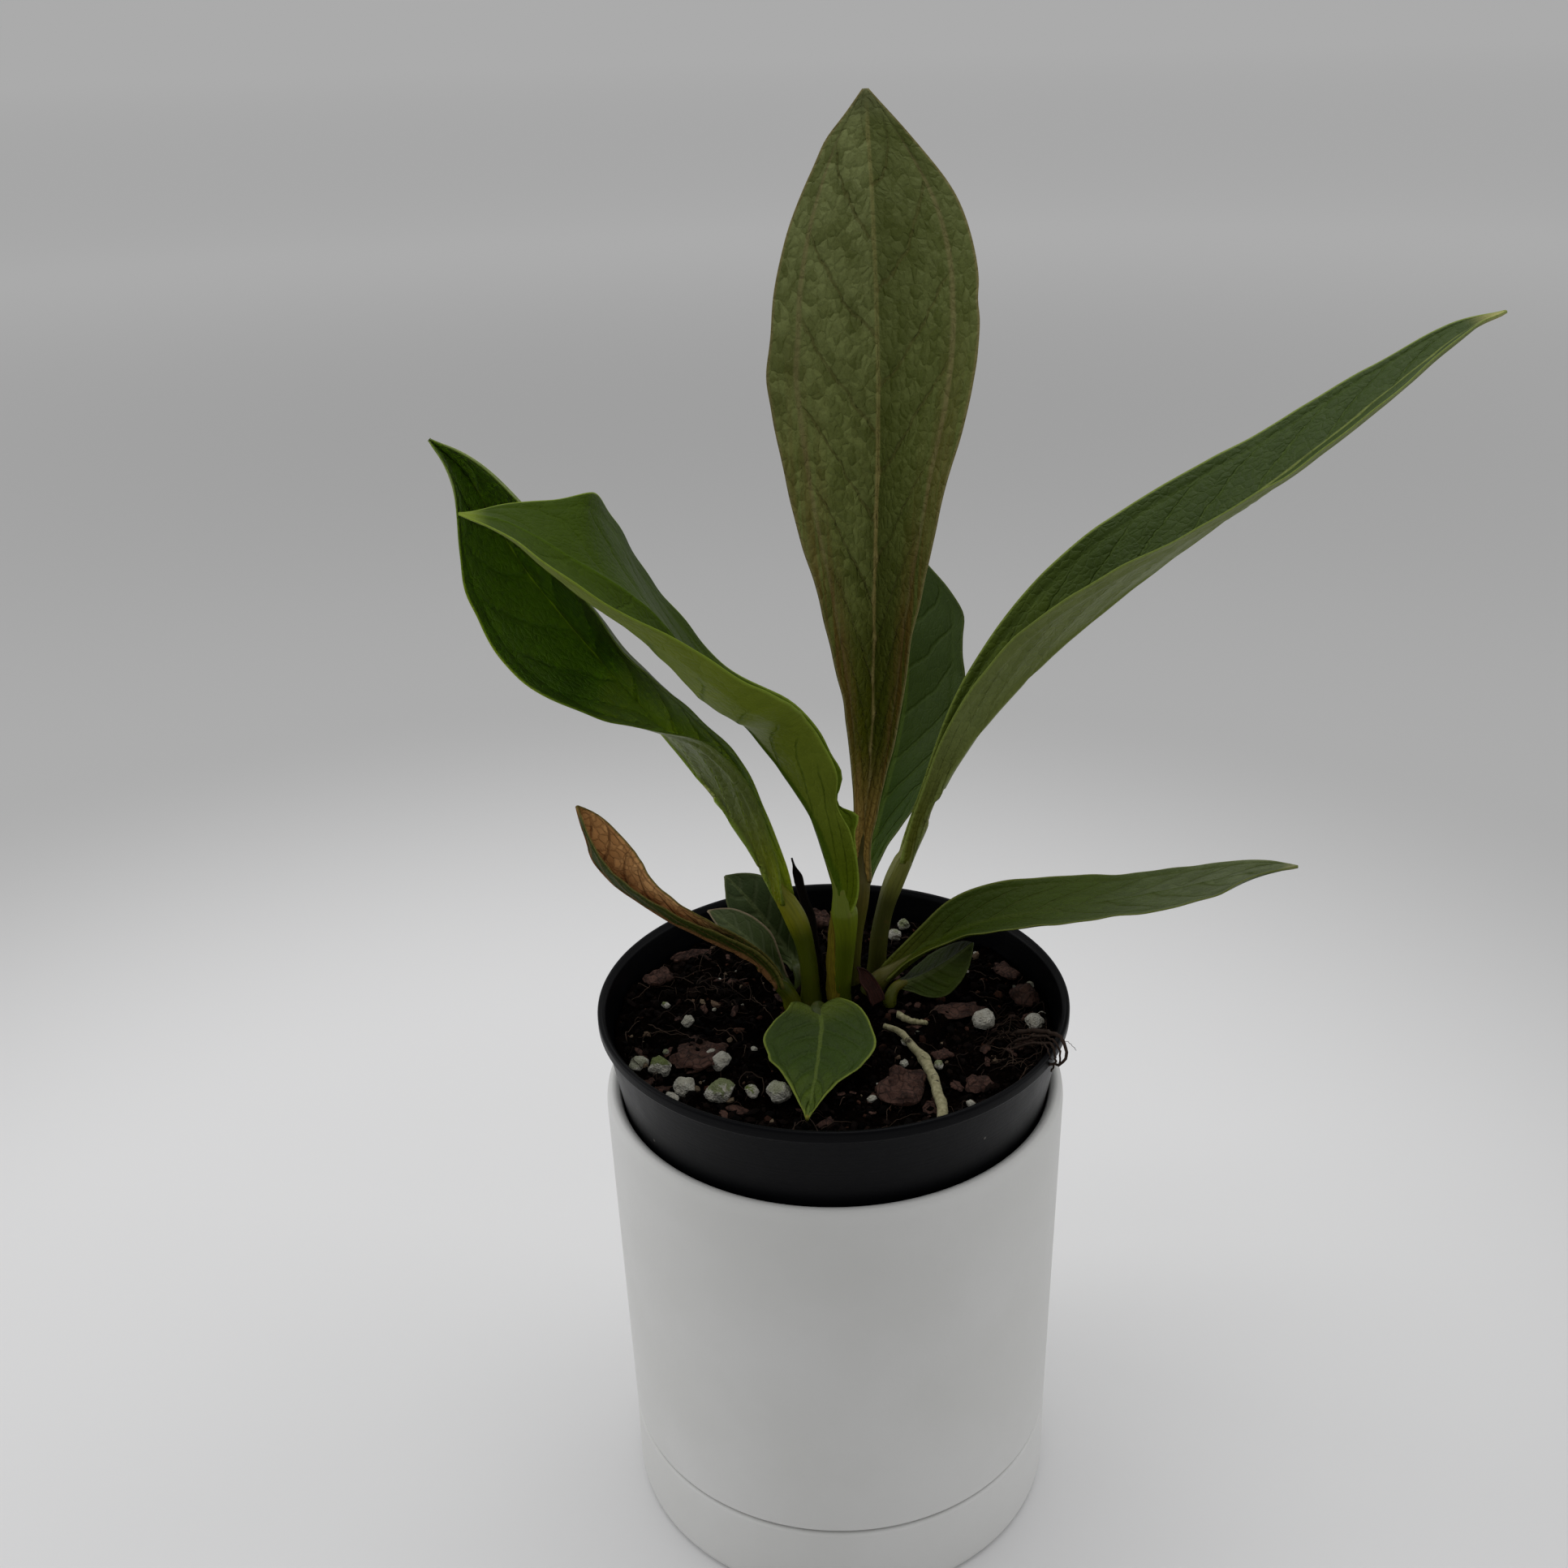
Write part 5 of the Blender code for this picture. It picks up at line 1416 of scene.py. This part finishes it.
def sheath_material(name, pale, dark, roughness):
    """Dry, papery and streaked along its length."""
    paint = Paint(name, roughness, 0.12)
    across, share, _ = paint.split(paint.attribute("blade"))
    lines = paint.join(paint.times(across, 6.0), paint.times(share, 1.2))
    streak = paint.noise(lines, 1.6, 4.0, 0.65)
    spots = paint.noise(paint.place(), 500.0, 3.0, 0.6)
    paint.colour(paint.spread(streak, 0.35, 0.65, tone(pale), tone(dark)))
    paint.coat(paint.times(paint.fade(spots, 0.55, 0.7), 0.4), tone(dark))
    paint.rough(streak, 0.3, roughness - 0.1)
    paint.bump(streak, 0.0003)
    return paint.material


def add_sheaths():
    rows = 50
    steps = np.linspace(0, 1, 11)
    share, sign = mirrored(steps)
    for name, sheath in SHEATHS.items():
        curl = (sheath["wrap"], sheath["wrap"])
        leaf = dict(
            sheath, left=(32, 30), right=(32, 30), turn=(0, 0), curl_left=curl, curl_right=curl,
            widths=(0.9, 1.0, 1.0, 0.95, 0.85, 0.72, 0.5, 0.25, 0.06), lobes=(0.0, 0.0),
        )
        grid, _, up, _ = blade_grid(leaf, rows, steps)
        shape = grid.shape[:2]
        normals = grid_normals(grid, up)
        for row in range(rows):
            for column in range(len(share)):
                wave = noise.noise(Vector(grid[row, column]) * 0.35) * 0.5
                grid[row, column] += normals[row, column] * wave * (0.3 + share[column])
        thick = grid_normals(grid, up) * SHEATH_HALF_THICK
        at = np.broadcast_to(np.linspace(0, 1, rows)[:, None], shape)
        signed = np.broadcast_to((share * sign)[None, :], shape)
        blade = np.stack([signed, at, np.zeros(shape)], axis=-1)
        name = "sheath_" + name
        add_piece(
            name + "_skin", both_sides(grid + thick, grid - thick), shell_faces(*shape),
            sheath_material(name, *sheath["tones"], 0.65), [name], True,
            {"blade": both_sides(blade, blade)},
        )


def add_crown(material):
    """The rootstock: a knobbly brown mound that the stalks stand in."""
    corners, ball = lump_shape(5)
    points = []
    for corner in corners:
        lumps = 1 + 0.16 * noise.noise(Vector(corner) * 2.4) + 0.07 * noise.noise(Vector(corner) * 7.0)
        x = CROWN_CENTRE[0] + 14.2 * lumps * corner[0]
        y = CROWN_CENTRE[1] + 13.2 * lumps * corner[1]
        points.append((x, y, 121.6 + 3.4 * lumps * corner[2]))
    add_piece("crown_mound", points, ball, material, ["crown"])


def make_studio():
    """A pale floor with painted shade a little way off and painted light further out, and soft light from
    three sides.
    """
    scene = bpy.context.scene
    scene.view_settings.view_transform = "Standard"
    floor_mesh = bpy.data.meshes.new("floor")
    shell = bmesh.new()
    bmesh.ops.create_circle(shell, cap_ends=True, segments=96, radius=300.0)
    shell.to_mesh(floor_mesh)
    shell.free()
    paint = Paint("floor", 0.9, 0.0)
    x, y, _ = paint.split(paint.place())
    # The painted light and shade centre 6 cm left of the pot, so the floor is painted a shade darker to the
    # right.
    x = paint.math("ADD", x, 0.06)
    away = paint.math("SQRT", paint.math("ADD", paint.times(x, x), paint.times(y, y)))
    # Painted shade: greyer from 0.19 to 0.52 m out, standing in for the shade of a backdrop's sweep.
    pale = paint.spread(away, 0.19, 0.52, (0.75, 0.75, 0.755, 1), (0.47, 0.47, 0.47, 1))
    # Painted light: paler again further out, to make up for the lamps' light falling off with distance.
    pale = paint.spread(away, 0.75, 2.6, pale, (0.93, 0.93, 0.93, 1))
    paint.colour(paint.spread(away, 3.0, 12.0, pale, (1.0, 1.0, 1.0, 1)))
    floor_mesh.materials.append(paint.material)
    floor = add_object("floor", floor_mesh)
    world = bpy.data.worlds.new("studio")
    world.use_nodes = True
    world.node_tree.nodes["Background"].inputs[0].default_value = (1.0, 1.0, 1.0, 1)
    world.node_tree.nodes["Background"].inputs[1].default_value = 0.407
    scene.world = world
    for name, place, size, power in (
        ("top", (0.0, 0.2, 1.3), 1.2, 8.0),
        ("left", (-1.4, 0.2, 0.6), 1.0, 5.0),
        ("right", (1.4, 0.2, 0.6), 1.0, 3.5),
    ):
        lamp = bpy.data.lights.new(name, "AREA")
        lamp.size = size
        lamp.energy = power
        made = add_object(name, lamp)
        made.location = place
        aim = Vector((0, 0, 0.15)) - Vector(place)
        made.rotation_euler = aim.to_track_quat("-Z", "Y").to_euler()
        made.visible_camera = False


def make_camera():
    pitch, yaw, roll = CAMERA_PITCH, CAMERA_YAW, CAMERA_ROLL
    ahead = Vector((math.sin(yaw) * math.cos(pitch), math.cos(yaw) * math.cos(pitch), -math.sin(pitch)))
    level = Vector((math.cos(yaw), -math.sin(yaw), 0.0))
    over = level.cross(ahead)
    right = math.cos(roll) * level + math.sin(roll) * over
    up = math.cos(roll) * over - math.sin(roll) * level
    turn = Matrix((right, up, -ahead)).transposed().to_4x4()
    lens = bpy.data.cameras.new("camera")
    lens.lens = CAMERA_LENS
    lens.sensor_width = SENSOR
    lens.clip_start = 0.01
    lens.clip_end = 1000.0
    camera = add_object("camera", lens)
    camera.matrix_world = Matrix.Translation(CAMERA_PLACE) @ turn
    bpy.context.scene.camera = camera


make_camera()
make_studio()
add_pots()
for leaf_name, leaf in LEAVES.items():
    leaf_grid, leaf_normals, leaf_length = add_leaf(leaf_name, leaf)
    add_stalk(leaf_name, leaf, leaf_grid, leaf_normals, leaf_length)

mix = mix_material("potting_mix")
add_mix(mix)
add_crown(mix)
add_crumbs()
add_fibres()
add_bark()
add_perlite()
add_roots()
add_sheaths()
